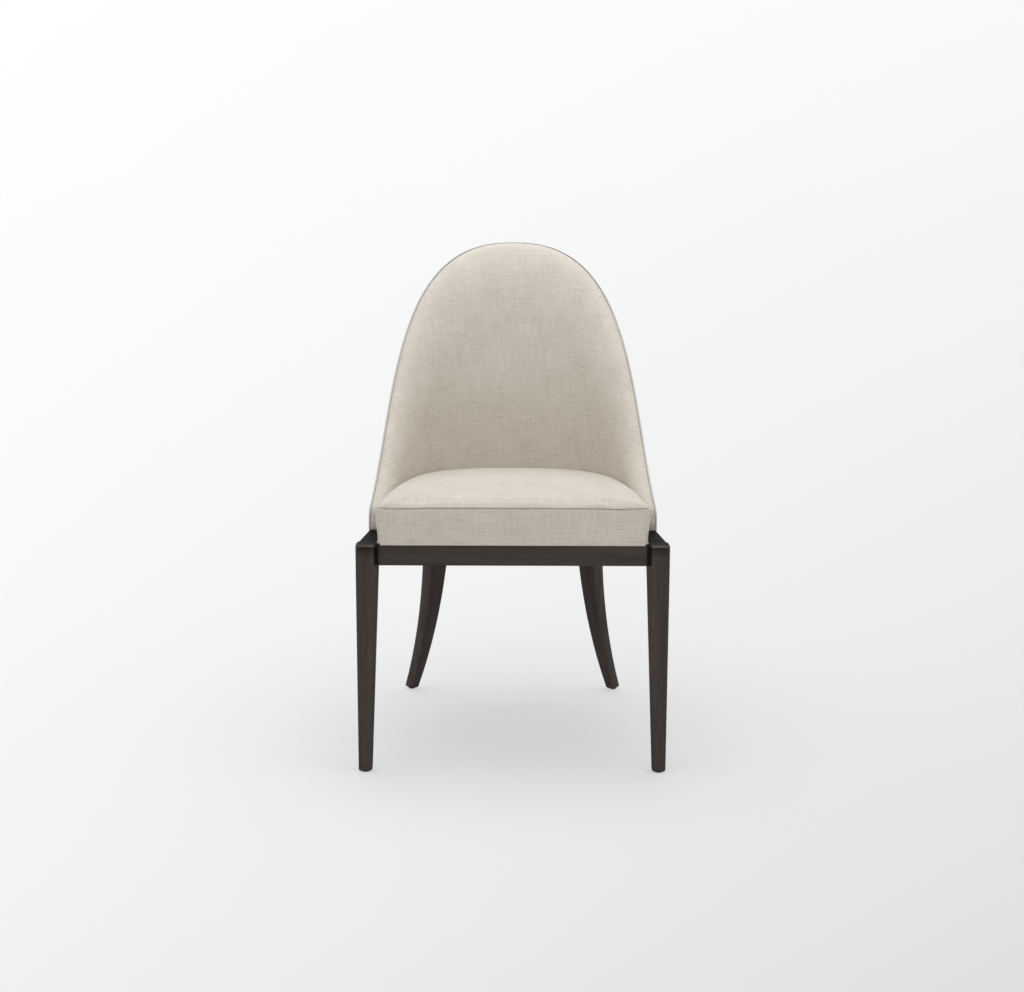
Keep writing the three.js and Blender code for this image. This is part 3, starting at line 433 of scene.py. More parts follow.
# Threads, slubs and mottle of the linen: noise per metre along weft and warp,
# its detail and its weight
LINEN_LAYERS = (
    ((45, 1000, 1), 1.0, 0.5),
    ((1000, 45, 1), 1.0, 0.46),
    ((16, 360, 1), 2.0, 0.52),
    ((360, 16, 7), 2.0, 0.46),
    ((14, 14, 3), 3.0, 0.3),
)
# Sparse thick threads that stand out darker
THICK_THREADS = (21, 420, 5)
THICK_RANGE = (0.62, 0.74, 0.0, -0.2)
WAVER_SCALE = 9.0
WAVER_REACH = 0.003
THREAD_PITCH = 0.0011
THREAD_RELIEF = 0.35


def linen(name, dark, base, light, turn=0.0, painted_shade=None):
    """Plain-woven linen: threads, slubs along both ways and a faint mottle.

    The last argument, if given, paints shade by height: two heights and the share of
    the colour left past the second.
    """
    material, tree, shader = node_material(name)
    source = add(tree, "ShaderNodeUVMap", uv_map="weave").outputs["UV"]
    if turn:
        rotated = {"Vector": source, "Rotation": (0, 0, turn)}
        source = add(tree, "ShaderNodeMapping", rotated).outputs[0]
    # slow waver, so that the threads don't run dead straight
    settings = {"Vector": source, "Scale": WAVER_SCALE, "Detail": 2.0}
    waver = add(tree, "ShaderNodeTexNoise", settings).outputs["Color"]
    centred = vector_maths(tree, "SUBTRACT", {0: waver, 1: (0.5, 0.5, 0.5)})
    small = vector_maths(tree, "SCALE", {0: centred, "Scale": WAVER_REACH})
    place = vector_maths(tree, "ADD", {0: source, 1: small})
    total = ranged(tree, noise(tree, place, THICK_THREADS, 1.0), *THICK_RANGE)
    for scale, detail, weight in LINEN_LAYERS:
        about = maths(tree, "SUBTRACT", noise(tree, place, scale, detail), 0.5)
        total = maths(tree, "ADD", total, product(tree, about, weight))
    factor = maths(tree, "ADD", total, 0.5, clamp=True)
    colour = ramp(tree, factor, (0.0, dark), (1.0, light), (0.5, base))
    # painted shade: the colour goes darker between two heights
    if painted_shade:
        colour = shaded(tree, colour, split(tree, object_place(tree))["Z"], *painted_shade)
    # the threads pass over and under each other
    across, along, _ = split(tree, place)
    pitch = 2 * math.pi / THREAD_PITCH
    waves = [maths(tree, "SINE", product(tree, way, pitch)) for way in (across, along)]
    height = maths(tree, "ADD", product(tree, *waves, THREAD_RELIEF), total)
    finish = {
        "Base Color": colour,
        "Normal": relief(tree, height, 0.5, 0.0004),
        "Roughness": ranged(tree, factor, 0.0, 1.0, 0.96, 0.86),
        "Specular IOR Level": 0.25,
        "Sheen Weight": 0.18,
        "Sheen Roughness": 0.4,
    }
    put(tree, shader, finish)
    return material


# Noise of the lacquered wood, per metre, with its detail and roughness
GRAIN = (420, 4.0, 0.6)
FIGURE = (60, 3.0, 0.5)
PORES = (1500, 2.0, 0.7)
# how far up a face turns for the painted shade on level tops
TOP_SHADE_FACING = (0.8, 0.97)

# Painted shade and a painted highlight on the front legs' heads, and painted shade in
# their corners by the front rail: from and to, in metres, and the share left over
HEAD_SHADE_FACING = (-0.9, -0.97)
HEAD_SHADE_FADE = (0.4035, 0.4235)
HEAD_SHADE_SHARE = 0.4
BEVEL_FOOT = (0.4236, 0.4244)
BEVEL_HIGHLIGHT_FACING = (0.9, 0.8)
BEVEL_HIGHLIGHT_SHARE = 1.6
CORNER_HALF_WIDTH = (0.2522, 0.2512)
CORNER_FOOT = (0.3895, 0.3915)
CORNER_DEPTH = (0.013, 0.011)
CORNER_SHADE_SHARE = 0.15


def leg_head_painted_light(tree, colour, geometry):
    """Darker below a pale bevel, and black in the corner by the front rail: painted
    shade, with a painted highlight on the bevel.
    """
    normal = split(tree, geometry["True Normal"])
    spot = split(tree, geometry["Position"])
    # painted shade on the front face below the bevel
    facing = ranged(tree, normal["Y"], *HEAD_SHADE_FACING)
    below = ranged(tree, spot["Z"], *HEAD_SHADE_FADE)
    band = product(tree, below, ranged(tree, spot["Z"], *reversed(BEVEL_FOOT)))
    colour = shaded(tree, colour, product(tree, facing, band), 0, 1, HEAD_SHADE_SHARE)
    # painted highlight on the bevel
    rim = ranged(tree, spot["Z"], *BEVEL_FOOT)
    bevel = product(tree, rim, ranged(tree, normal["Z"], *BEVEL_HIGHLIGHT_FACING))
    colour = shaded(tree, colour, bevel, 0, 1, BEVEL_HIGHLIGHT_SHARE)
    # black painted shade in the corner by the front rail
    beside = ranged(tree, maths(tree, "ABSOLUTE", spot["X"]), *CORNER_HALF_WIDTH)
    above = ranged(tree, spot["Z"], *CORNER_FOOT)
    ahead = ranged(tree, spot["Y"], *(FRONT_Y + depth for depth in CORNER_DEPTH))
    corner = product(tree, beside, above, ahead)
    return shaded(tree, colour, corner, 0, 1, CORNER_SHADE_SHARE)


def lacquered_wood(name, dark, base, light, along=(1, 1, 0.06), top=0.12, head=False):
    """Espresso lacquer: faint open grain under a satin coat.

    top is the share of the colour left on level tops, as painted shade; head adds
    painted shade and a painted highlight on a front leg's head.
    """
    material, tree, shader = node_material(name)
    place = object_place(tree)
    grain, figure, pores = (
        noise(tree, place, tuple(scale * share for share in along), detail, roughness)
        for scale, detail, roughness in (GRAIN, FIGURE, PORES)
    )
    factor = weighted(tree, (grain, 0.45), (figure, 0.55))
    colour = ramp(tree, factor, (0.32, dark), (0.7, light), (0.5, base))
    geometry = add(tree, "ShaderNodeNewGeometry").outputs
    upward = split(tree, geometry["True Normal"])["Z"]
    # painted shade: level tops darker than the sides
    colour = shaded(tree, colour, upward, *TOP_SHADE_FACING, top)
    if head:
        colour = leg_head_painted_light(tree, colour, geometry)
    pits = ranged(tree, pores, 0.3, 0.45)
    finish = {
        "Base Color": colour,
        "Normal": relief(tree, weighted(tree, (pits, 0.6), (grain,)), 0.18, 0.0002),
        "Roughness": ranged(tree, grain, 0.0, 1.0, 0.5, 0.64),
        "Specular IOR Level": 0.03,
    }
    put(tree, shader, finish)
    return material


def raw_wood(name, dark, light, bands):
    material, tree, shader = node_material(name)
    place = object_place(tree)
    grain = noise(tree, place, (25, 90, 90), 4.0, 0.6)
    layers = noise(tree, place, (4, 4, bands), 1.0)
    factor = weighted(tree, (grain, 0.6), (layers, 0.4))
    finish = {
        "Base Color": ramp(tree, factor, (0.3, dark), (0.7, light)),
        "Normal": relief(tree, grain, 0.25, 0.0003),
        "Roughness": 0.75,
    }
    put(tree, shader, finish)
    return material


def zinc(name, dark, light):
    material, tree, shader = node_material(name)
    patches = noise(tree, object_place(tree), (900, 900, 900), 3.0)
    finish = {
        "Base Color": ramp(tree, patches, (0.0, dark), (1.0, light)),
        "Roughness": ranged(tree, patches, 0.0, 1.0, 0.28, 0.5),
        "Metallic": 1,
    }
    put(tree, shader, finish)
    return material


def nylon(name, dark, light):
    material, tree, shader = node_material(name)
    scuffs = noise(tree, object_place(tree), (700, 700, 250), 4.0, 0.65)
    finish = {
        "Base Color": ramp(tree, scuffs, (0.0, dark), (1.0, light)),
        "Normal": relief(tree, scuffs, 0.2, 0.0002),
        "Roughness": 0.55,
    }
    put(tree, shader, finish)
    return material


def cambric(name, dark, light):
    """Non-woven cloth: short fibres between rows of bonded dots."""
    material, tree, shader = node_material(name)
    source = add(tree, "ShaderNodeUVMap", uv_map="weave").outputs["UV"]
    fibres = noise(tree, source, (900, 500, 1), 4.0, 0.7)
    dots = add(tree, "ShaderNodeTexVoronoi", {"Vector": source, "Scale": 450.0})
    factor = weighted(tree, (fibres, 0.7), (dots.outputs["Distance"], 0.4))
    finish = {
        "Base Color": ramp(tree, factor, (0.0, dark), (1.0, light)),
        "Normal": relief(tree, factor, 0.4, 0.0003),
        "Roughness": 0.95,
    }
    put(tree, shader, finish)
    return material


LINEN_SHADES = (srgb(178, 168, 156), srgb(206, 198, 187), srgb(226, 220, 211))
WELT_SHADES = (srgb(178, 174, 169), srgb(200, 196, 190), srgb(216, 212, 206))
ESPRESSO = (srgb(60, 55, 51), srgb(71, 65, 61), srgb(80, 73, 68))
# near-black wood for the front corner blocks, as painted shade beside the cushion
SHADE_DARK_WOOD = (srgb(27, 23, 20), srgb(34, 29, 26), srgb(42, 37, 33))
BIAS = math.radians(45)
ACROSS, ALONG = (0.06, 1, 1), (1, 0.06, 1)

LINEN = linen("linen_weave", *LINEN_SHADES)
# linen of the back's padding, with shade painted in below about 474 mm, by the cushion
# and rail
SHADED_WING_LINEN = linen("wing_linen_painted_shade", *LINEN_SHADES, painted_shade=(0.474, 0.456, 0.78))
# the cord is painted darker towards the top of the back: painted shade along the rim
WELT_CLOTH = linen("welt_weave", *WELT_SHADES, turn=BIAS, painted_shade=(0.78, 0.94, 0.35))
# each lacquered wood has painted shade on its level tops
ESPRESSO_UPRIGHT = lacquered_wood("espresso_upright", *ESPRESSO)
# the front legs also get painted shade and a painted highlight on their heads
ESPRESSO_LEG = lacquered_wood("espresso_leg", *ESPRESSO, top=0.25, head=True)
ESPRESSO_ACROSS = lacquered_wood("espresso_across", *ESPRESSO, along=ACROSS)
ESPRESSO_ALONG = lacquered_wood("espresso_along", *ESPRESSO, along=ALONG)
SHADE_BLOCK_WOOD = lacquered_wood("painted_shade_block", *SHADE_DARK_WOOD, along=ACROSS)
BEECH = raw_wood("beech_raw", srgb(180, 146, 104), srgb(214, 184, 142), 60)
PLYWOOD = raw_wood("birch_ply", srgb(176, 140, 94), srgb(214, 182, 134), 700)
ZINC = zinc("zinc_plate", srgb(150, 152, 156), srgb(206, 208, 212))
NYLON = nylon("nylon_glide", srgb(32, 31, 30), srgb(58, 56, 54))
CAMBRIC = cambric("cambric", srgb(18, 18, 19), srgb(58, 58, 60))

# CAD nodes that stay

WELD_DISTANCE = 0.00001
SHARP_EDGE = math.radians(28)


def keep(node, material):
    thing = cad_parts[node]
    thing.data.materials.clear()
    thing.data.materials.append(material)
    thing.data.polygons.foreach_set("use_smooth", [True] * len(thing.data.polygons))
    weld = thing.modifiers.new("weld", "WELD")
    weld.merge_threshold = WELD_DISTANCE
    edges = thing.modifiers.new("edges", "EDGE_SPLIT")
    edges.split_angle = SHARP_EDGE


for side in ("left", "right"):
    keep(f"front_leg_{side}", ESPRESSO_LEG)
    keep(f"rear_leg_{side}", ESPRESSO_UPRIGHT)
    keep(f"side_rail_{side}", ESPRESSO_ALONG)
    # the front corner blocks take the near-black painted shade wood
    keep(f"corner_block_front_{side}", SHADE_BLOCK_WOOD)
    keep(f"corner_block_rear_{side}", BEECH)
    keep(f"glide_front_{side}", NYLON)
    keep(f"glide_rear_{side}", NYLON)
for node in ("front_rail", "rear_rail"):
    keep(node, ESPRESSO_ACROSS)
for node in ("seat_deck", "back_shell", "back_base_rail"):
    keep(node, PLYWOOD)
for node in sorted(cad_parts):
    if "screw" in node or "bolt" in node:
        keep(node, ZINC)

# Cloth simulation

SIM_FRAMES = 20
SIM_VOXEL = 0.006
SIM_PRESSURE = 4.0
SIM_SHRINK = 0.0015
SIM_LARGEST_MOVE = 0.006
SIM_NEAR = 6
SIM_NEAR_SOFTENING = 0.002


def swell(name, points, faces, hold):
    """Blows a closed form up as cloth and returns a lookup of how each place moved.

    hold(points) gives how firmly each remeshed point is kept, from 0 to 1.
    """
    thing = new_object(name, points, faces)
    remesh = thing.modifiers.new("remesh", "REMESH")
    remesh.mode = "VOXEL"
    remesh.voxel_size = SIM_VOXEL
    depsgraph = bpy.context.evaluated_depsgraph_get()
    mesh = bpy.data.meshes.new_from_object(thing.evaluated_get(depsgraph))
    thing.modifiers.clear()
    thing.data = mesh
    start = read_vertices(mesh) - read_vertices(mesh, "normal") * SIM_SHRINK
    mesh.vertices.foreach_set("co", start.ravel())
    mesh.update()
    firm = np.round(hold(start), 2)
    group = thing.vertex_groups.new(name="held")
    for level in np.unique(firm):
        if level > 0:
            members = [int(i) for i in np.nonzero(firm == level)[0]]
            group.add(members, float(level), "REPLACE")
    cloth = thing.modifiers.new("cloth", "CLOTH")
    settings = cloth.settings
    settings.quality = 5
    settings.mass = 0.3
    settings.tension_stiffness = 15
    settings.compression_stiffness = 15
    settings.shear_stiffness = 5
    settings.bending_stiffness = 0.5
    settings.use_pressure = True
    settings.uniform_pressure_force = SIM_PRESSURE
    settings.vertex_group_mass = "held"
    settings.effector_weights.gravity = 0
    cloth.collision_settings.use_collision = False
    cloth.collision_settings.use_self_collision = False
    cloth.point_cache.frame_start = 1
    cloth.point_cache.frame_end = SIM_FRAMES
    scene = bpy.context.scene
    for number in range(1, SIM_FRAMES + 1):
        scene.frame_set(number)
    depsgraph = bpy.context.evaluated_depsgraph_get()
    move = read_vertices(thing.evaluated_get(depsgraph).data) - start
    length = np.linalg.norm(move, axis=1)
    limited = SIM_LARGEST_MOVE * np.tanh(length / SIM_LARGEST_MOVE)
    move *= (limited / length.clip(1e-9))[:, None]
    scene.frame_set(1)
    bpy.data.objects.remove(thing)
    bpy.data.meshes.remove(mesh)
    tree = kdtree.KDTree(len(start))
    for index, place in enumerate(start):
        tree.insert(place, index)
    tree.balance()

    def moved(place):
        found = tree.find_n(place, SIM_NEAR)
        weights = np.array([1 / (f[2] + SIM_NEAR_SOFTENING) ** 2 for f in found])
        picks = np.array([f[1] for f in found])
        return (move[picks] * weights[:, None]).sum(0) / weights.sum()

    return moved


# Back


def tub_stations(start=0.0):
    """Arc distances along the tub, closer together round each wing's front end."""
    near = NOSE_DEPTH * (1 - np.cos(np.linspace(0, math.pi / 2, NOSE_STATIONS)))
    near = near[near > start]
    count = int(round((tub.length - 2 * NOSE_DEPTH) / STATION_STEP))
    middle = np.linspace(NOSE_DEPTH, tub.length - NOSE_DEPTH, count + 1)[1:-1]
    left = np.concatenate([[start], near])
    return np.concatenate([left, middle, (tub.length - left)[::-1]])


def pad_section(distance):
    """Inset and height of the padding, from beside the welt over the roll and down."""
    top = float(edge_height(distance))
    stretch = float(edge_stretch(distance))
    rounding = quarter_round(end_run(distance), NOSE_DEPTH, NOSE_ROUNDING)
    nose = NOSE_ROUNDING - float(rounding)
    crown = WELT_SEAT + ROLL_LEAD
    rear = rear_share(float(tub.depth(distance)))
    wanted = (ROLL_DEPTH + (REAR_ROLL_DEPTH - ROLL_DEPTH) * rear) * stretch
    most = ROLL_SHARE * (top - RAIL_TOP)
    fall = most * (1 - math.exp(-wanted / most))
    roll_bottom = top - fall
    rise = fall - ROLL_DIP * stretch

    def face(height):
        return float(pad_thickness(distance, height)) - nose

    start = WELT_SEAT + GAP
    shoulder = top - WELT_RADIUS * stretch
    points = []
    for angle in np.linspace(0, math.pi / 2, SHOULDER_STEPS)[:-1]:
        lift = (WELT_RADIUS - ROLL_DIP) * stretch * (1 - math.cos(angle))
        points.append((start + (crown - start) * math.sin(angle), shoulder + lift))
    for angle in np.linspace(math.pi / 2, 0, ROLL_STEPS):
        inset = crown + (face(roll_bottom) - crown) * math.cos(angle)
        points.append((inset, roll_bottom + rise * math.sin(angle) ** (2 / ROLL_POWER)))
    for height in np.linspace(roll_bottom, COVER_BOTTOM + FACE_FOOT, FACE_STEPS)[1:]:
        points.append((face(height), height))
    return points


def pad_ring(distance):
    """The whole closed section of the padded inside of the back at an arc distance."""
    top = float(edge_height(distance))
    stretch = float(edge_stretch(distance))
    run = float(end_run(distance))
    visible = pad_section(distance)
    face_low = visible[-1][0]
    # bead where the cover turns under at the rail
    bead = [
        (face_low + 0.5, COVER_BOTTOM + 3),
        (face_low + 0.7, COVER_BOTTOM + 1.7),
        (face_low + 0.2, COVER_BOTTOM + 0.4),
        (face_low - 1, COVER_BOTTOM),
    ]
    fold = top - WELT_SEAT * stretch
    if run < NOSE_SOLID:
        outer = WELT_SEAT + GAP
        hidden = [
            (outer + 1.2, COVER_BOTTOM),
            (outer + 0.9, COVER_BOTTOM + 0.1),
            (outer + 0.6, COVER_BOTTOM + 0.2),
            (outer + 0.3, COVER_BOTTOM + 0.3),
            (outer, COVER_BOTTOM + 0.6),
            (outer, fold - 0.3),
            (outer, fold - 0.1),
            (outer, fold),
        ]
    else:
        shelf = top - SHELF_DROP * stretch
        shell = SHELL_INNER + 3 * GAP
        notch, notch_top = shell + 0.2, COVER_BOTTOM + 0.6
        if run > BASE_RAIL_START:
            notch, notch_top = BASE_RAIL_INNER + 3 * GAP, BASE_RAIL_TOP + GAP
        hidden = [
            (notch + 0.4, COVER_BOTTOM),
            (notch, COVER_BOTTOM + 0.4),
            (notch, notch_top),
            (shell, notch_top + 0.2),
            (shell, shelf),
            (SHELL_OUTER, shelf + 0.2),
            (SHELL_OUTER, fold),
            (WELT_SEAT, fold + 0.1),
        ]
    return np.array(visible + bead + hidden)


PAD_VISIBLE = len(pad_section(0))


def weave_rise(section):
    """Where the level threads lie: by height on the face, evenly over the roll."""
    rise = section[:, 1].copy()
    steps = np.linalg.norm(np.diff(section[:PAD_VISIBLE], axis=0), axis=1)
    rise[: PAD_VISIBLE - 1] = rise[PAD_VISIBLE - 1] + steps[::-1].cumsum()[::-1]
    return rise


def back_pad():
    """Rings of the padding and where the weave lies on them."""
    stations = tub_stations()
    rings = [(s, pad_ring(s)) for s in stations]
    # the nose is closed by rings that draw in towards its middle line
    first = rings[0][1]
    centre = (first[:, 0].min() + first[:, 0].max()) / 2
    low = COVER_BOTTOM + NOSE_END_MARGIN
    target = np.clip(first[:, 1], low, first[:, 1].max() - NOSE_END_MARGIN)
    noses = []
    for angle in np.linspace(0, math.pi / 2, NOSE_RINGS)[1:]:
        share = max(math.cos(angle), NOSE_LEAST_SHARE)
        drawn = first.copy()
        drawn[:, 0] = centre + (first[:, 0] - centre) * share
        drawn[:, 1] = target + (first[:, 1] - target) * share
        noses.append((-NOSE_BULGE * math.sin(angle), drawn))
    left = list(reversed(noses))
    right = [(tub.length - s, section) for s, section in noses]
    rings = left + rings + right
    points = np.array([on_tub(s, ring[:, 0], ring[:, 1]) for s, ring in rings])
    # across by distance along the tub, upright by the way over the padding
    along = np.array([s for s, _ in rings])
    v = np.array([weave_rise(section) for _, section in rings])
    uv = np.stack([np.broadcast_to(along[:, None], v.shape) * MM, v * MM], -1)
    return points, uv


def outer_cover():
    """Rings of the cloth round the outside of the tub and where the weave lies."""
    start = WELT_SEAT + GAP
    stations = tub_stations(start)
    rings, uvs = [], []
    for s in stations[(stations >= start) & (stations <= tub.length - start)]:
        top = float(edge_height(s)) - start * float(edge_stretch(s))
        foot = [COVER_BOTTOM + 0.5, COVER_BOTTOM + 2, COVER_BOTTOM + 4]
        face = np.linspace(COVER_BOTTOM + 6, top - 3, COVER_STEPS)
        heights = np.concatenate([foot, face, [top - 1.2, top]])
        outer_inset = np.zeros(len(heights))
        outer_inset[:3] = 0.3, -0.35, -0.15
        outer_inset[-2:] = 0.3, 0.9
        inner_heights = heights[::COVER_INNER_EVERY][::-1]
        inner_inset = np.full(len(inner_heights), COVER_THICKNESS)
        height = np.concatenate([heights, inner_heights])
        rings.append(on_tub(s, np.concatenate([outer_inset, inner_inset]), height))
        uvs.append(np.stack([np.full(len(height), s * MM), height * MM], -1))
    return np.array(rings), np.array(uvs)


def welt():
    """Corded piping up the front of each wing and along the whole edge."""
    turn = 1 - np.cos(np.linspace(0, math.pi / 2, WELT_CORNER_STEPS))
    edge = np.linspace(WING_CORNER_RADIUS, tub.length / 2, WELT_EDGE_STEPS)[1:]
    stations = np.concatenate([WING_CORNER_RADIUS * turn, edge])
    stations = np.concatenate([stations, (tub.length - stations)[::-1][1:]])
    edge = np.stack([stations, edge_height(stations)], 1)
    foot = np.linspace(COVER_BOTTOM, edge[0, 1], WELT_FOOT_STEPS + 1)[:-1]
    left = np.stack([np.zeros(WELT_FOOT_STEPS), foot], 1)
    right = np.stack([np.full(WELT_FOOT_STEPS, tub.length), foot[::-1]], 1)
    line = np.concatenate([left, edge, right])
    way = np.gradient(line, axis=0)
    way /= np.linalg.norm(way, axis=1)[:, None]
    inward = np.stack([way[:, 1], -way[:, 0]], 1)
    steps = np.linalg.norm(np.diff(line, axis=0), axis=1)
    run = np.concatenate([[0], np.cumsum(steps)])
    rings, uvs = [], []
    for k in range(WELT_SIDES):
        angle = 2 * math.pi * k / WELT_SIDES
        place = line + inward * (WELT_RADIUS * (1 + math.sin(angle)))
        inset = WELT_RADIUS * (1 + math.cos(angle))
        rings.append(on_tub(place[:, 0], inset, place[:, 1]))
        around = np.full(len(run), angle * WELT_RADIUS * MM)
        uvs.append(np.stack([run * MM, around], 1))
    return np.array(rings).transpose(1, 0, 2), np.array(uvs).transpose(1, 0, 2)


# Seat


def raked(depth, height):
    """Height of a place in the seat, which slopes down to the rear above its deck."""
    depth_share = (depth - SEAT_FRONT) / (SEAT_REAR - SEAT_FRONT)
    height_share = np.maximum(0, (height - FOAM_BOTTOM) / (SEAT_SEAM - FOAM_BOTTOM))
    return height - SEAT_RAKE * depth_share * height_share


def on_pad(distances, level):
    """Plan points on the face of the back's padding, with the seat's clearance."""
    inset = pad_thickness(distances, level) + SEAT_CLEARANCE
    x, y = tub.at(distances, inset)
    return np.stack([x, y + (level - RAIL_TOP) * RECLINE], 1)


def seat_outline(height):
    """Plan of the cushion round the inside of the tub, then its sides and front."""
    distances = np.linspace(0, tub.length, SEAT_BACK_STEPS)
    level = raked(on_pad(distances, height)[:, 1], height)
    back = on_pad(distances, level)
    corner_x = SEAT_HALF_WIDTH - SEAT_CORNER_RADIUS
    corner_y = SEAT_FRONT + SEAT_CORNER_RADIUS
    angles = np.linspace(0, math.pi / 2, SEAT_CORNER_STEPS)
    across = corner_x + SEAT_CORNER_RADIUS * np.cos(angles)
    ahead = corner_y - SEAT_CORNER_RADIUS * np.sin(angles)
    corner = np.stack([across, ahead], 1)
    side = np.linspace(back[-1], corner[0], SEAT_SIDE_STEPS)[1:-1]
    front = np.linspace(corner[-1], corner[-1] * [-1, 1], SEAT_FRONT_STEPS)[1:-1]
    left_corner = corner[::-1] * [-1, 1]
    left_side = side[::-1] * [-1, 1]
    return np.concatenate([back, side, corner, front, left_corner, left_side])


def outward_way(outline):
    """Unit ways out of a closed plan outline at its points."""
    along = np.roll(outline, -1, 0) - np.roll(outline, 1, 0)
    along /= np.linalg.norm(along, axis=1)[:, None]
    way = np.stack([along[:, 1], -along[:, 0]], 1)
    middle = np.array([0, SEAT_MIDDLE])
    return way if ((outline - middle) * way).sum() > 0 else -way


# The boxed side, from under the cushion up to the seam: how far out and how high
# it lies at the flanks and rear, and then at the front, where it hangs over the rail
SEAT_PROFILE = (
    (-7.4, 440.6, -7.4, 440.6),
    (-7.4, 428.5, -7.4, 428.5),
    (-2.4, 428.4, 1.2, 428.5),
    (-1.0, 428.5, 1.5, 428.0),
    (-0.4, 429.1, 1.7, 427.0),
    (-0.2, 430.2, 2.4, 426.4),
    (-0.7, 432.2, 3.1, 427.0),
    (-1.3, 434.2, 3.3, 429.0),
    (-1.6, 438.0, 3.1, 433.0),
    (-1.5, 443.0, 2.7, 439.5),
    (-1.2, 449.0, 2.3, 447.0),
    (-0.8, 456.0, 1.9, 455.0),
    (-0.4, 464.0, 1.6, 464.0),
    (-0.1, 472.0, 1.3, 472.0),
    (0.1, 480.0, 1.0, 480.0),
    (0.2, 486.0, 0.8, 486.0),
    (0.1, 490.0, 0.5, 490.0),
    (-0.2, 492.6, 0.0, 492.6),
    (-0.8, 494.1, -0.7, 494.1),
    (-2.2, 494.8, -2.2, 494.8),
    (-2.4, 495.1, -2.4, 495.1),
    (-1.2, 495.5, -1.2, 495.5),
    (-0.4, 496.3, -0.4, 496.3),
)


def rounded(outline, reach):
    """The closed outline with its corners evened out over a reach along it."""
    closed = np.concatenate([outline, outline[:1]])
    steps = np.linalg.norm(np.diff(closed, axis=0), axis=1)
    run = np.concatenate([[0], steps.cumsum()])
    numbers = np.arange(ROUNDED_STEPS)
    even = numbers / ROUNDED_STEPS * run[-1]
    line = np.interp(even, run, closed[:, 0]) + 1j * np.interp(even, run, closed[:, 1])
    waves = 2 * math.pi * np.fft.fftfreq(ROUNDED_STEPS, run[-1] / ROUNDED_STEPS)
    line = np.fft.ifft(np.fft.fft(line) * np.exp(-((waves * reach) ** 2) / 2))
    place = run[:-1] / run[-1] * ROUNDED_STEPS
    x = np.interp(place, numbers, line.real, period=ROUNDED_STEPS)
    y = np.interp(place, numbers, line.imag, period=ROUNDED_STEPS)
    return np.stack([x, y], 1)


def top_height(inset):
    """Height of the cushion's top at an inset from its seam: a roll, then a crown."""
    roll = SEAT_ROLL_RISE * (1 - math.exp(-inset / SEAT_ROLL))
    crown = SEAT_CROWN * (1 - (1 - inset / SEAT_HALF_WIDTH) ** 2)
    return SEAT_SEAM + SEAM_LIFT + roll + crown


def seat_rings():
    """Rings of the cushion from underside to crown, and where the weave lies."""
    rings, uvs = [], []
    seam_outline = seat_outline(SEAT_SEAM)
    step = np.linalg.norm(seam_outline - np.roll(seam_outline, 1, 0), axis=1)
    step[0] = 0
    around = np.cumsum(step)

    def ring(plan, height, weave):
        rings.append(np.column_stack([plan, raked(plan[:, 1], height)]))
        uvs.append(weave * MM)

    hang = np.clip((HANG_HALF_WIDTH - np.abs(seam_outline[:, 0])) / HANG_FADE, 0, 1)
    hang = smooth_step(hang) * (seam_outline[:, 1] < SEAT_FRONT + 2)
    # the flanks ahead of the wings stand out a little below the seam
    flank = np.clip((FLANK_END - seam_outline[:, 1]) / FLANK_FADE, 0, 1)
    flank = smooth_step(flank) * (1 - hang)
    for out, high, front_out, front_high in SEAT_PROFILE:
        outline = seat_outline(min(high, SEAT_SEAM))
        # the cover comes forward past the rail's edge first, and then down
        offset = out + (front_out - out) * np.minimum(2 * hang, 1)
        height = high + (front_high - high) * np.maximum(2 * hang - 1, 0)
        rise = min(max((high - RAIL_TOP) / (SEAT_SEAM - RAIL_TOP), 0), 1)
        offset = offset + FLANK_SWELL * flank * math.sin(math.pi * rise**2)
        plan = outline + outward_way(outline) * offset[:, None]
        ring(plan, height, np.column_stack([around, height]))
    middle = np.array([0, SEAT_MIDDLE])
    for share in np.linspace(0, 1, SEAT_TOP_RINGS)[1:-1] ** SEAT_RING_SPREAD:
        inset = share * SEAT_HALF_WIDTH
        plan = rounded(seam_outline, SEAT_EVENING * inset)
        plan = middle + (plan - middle) * (1 - share)
        ring(plan, top_height(inset), plan)
    return rings, uvs, top_height(SEAT_HALF_WIDTH)


def seat_mesh():
    rings, uvs, crown = seat_rings()
    m = len(rings[0])
    top_middle = [0, SEAT_MIDDLE, raked(SEAT_MIDDLE, crown)]
    low_middle = [0, SEAT_MIDDLE, SEAT_PROFILE[0][1]]
    points = np.concatenate(rings + [[top_middle], [low_middle]])
    faces = tube_faces(len(rings), m)
    last = (len(rings) - 1) * m
    top, bottom = len(rings) * m, len(rings) * m + 1
    for j in range(m):
        k = (j + 1) % m
        faces.append((last + j, last + k, top))
        faces.append((k, j, bottom))
    points = points * MM
    points[:, 1] += FRONT_Y
    middle = np.array([[0, SEAT_MIDDLE * MM]])
    uv = np.concatenate(uvs + [middle, middle])
    return points, facing_out(points, faces), uv


# How firmly the cushion is held in its simulation: its foot, its rear and its flanks
HOLD_FOOT = (0.470, 0.02)
HOLD_REAR = (FRONT_Y + 0.30, 0.12)
HOLD_REAR_SHARE = 0.6
HOLD_FLANK = (0.2, FRONT_Y + 0.12)
HOLD_FLANK_SHARE = 0.8
PLAN_MOVE_SHARE = 0.3


def seat_hold(places):
    x, y, z = places.T
    low = np.clip((HOLD_FOOT[0] - z) / HOLD_FOOT[1], 0, 1)
    rear = np.clip((y - HOLD_REAR[0]) / HOLD_REAR[1], 0, 1)
    flank = (np.abs(x) > HOLD_FLANK[0]) & (y > HOLD_FLANK[1])
    sides = np.maximum(rear * HOLD_REAR_SHARE, flank * HOLD_FLANK_SHARE)
    return np.maximum(low, sides)


# Dust cloth

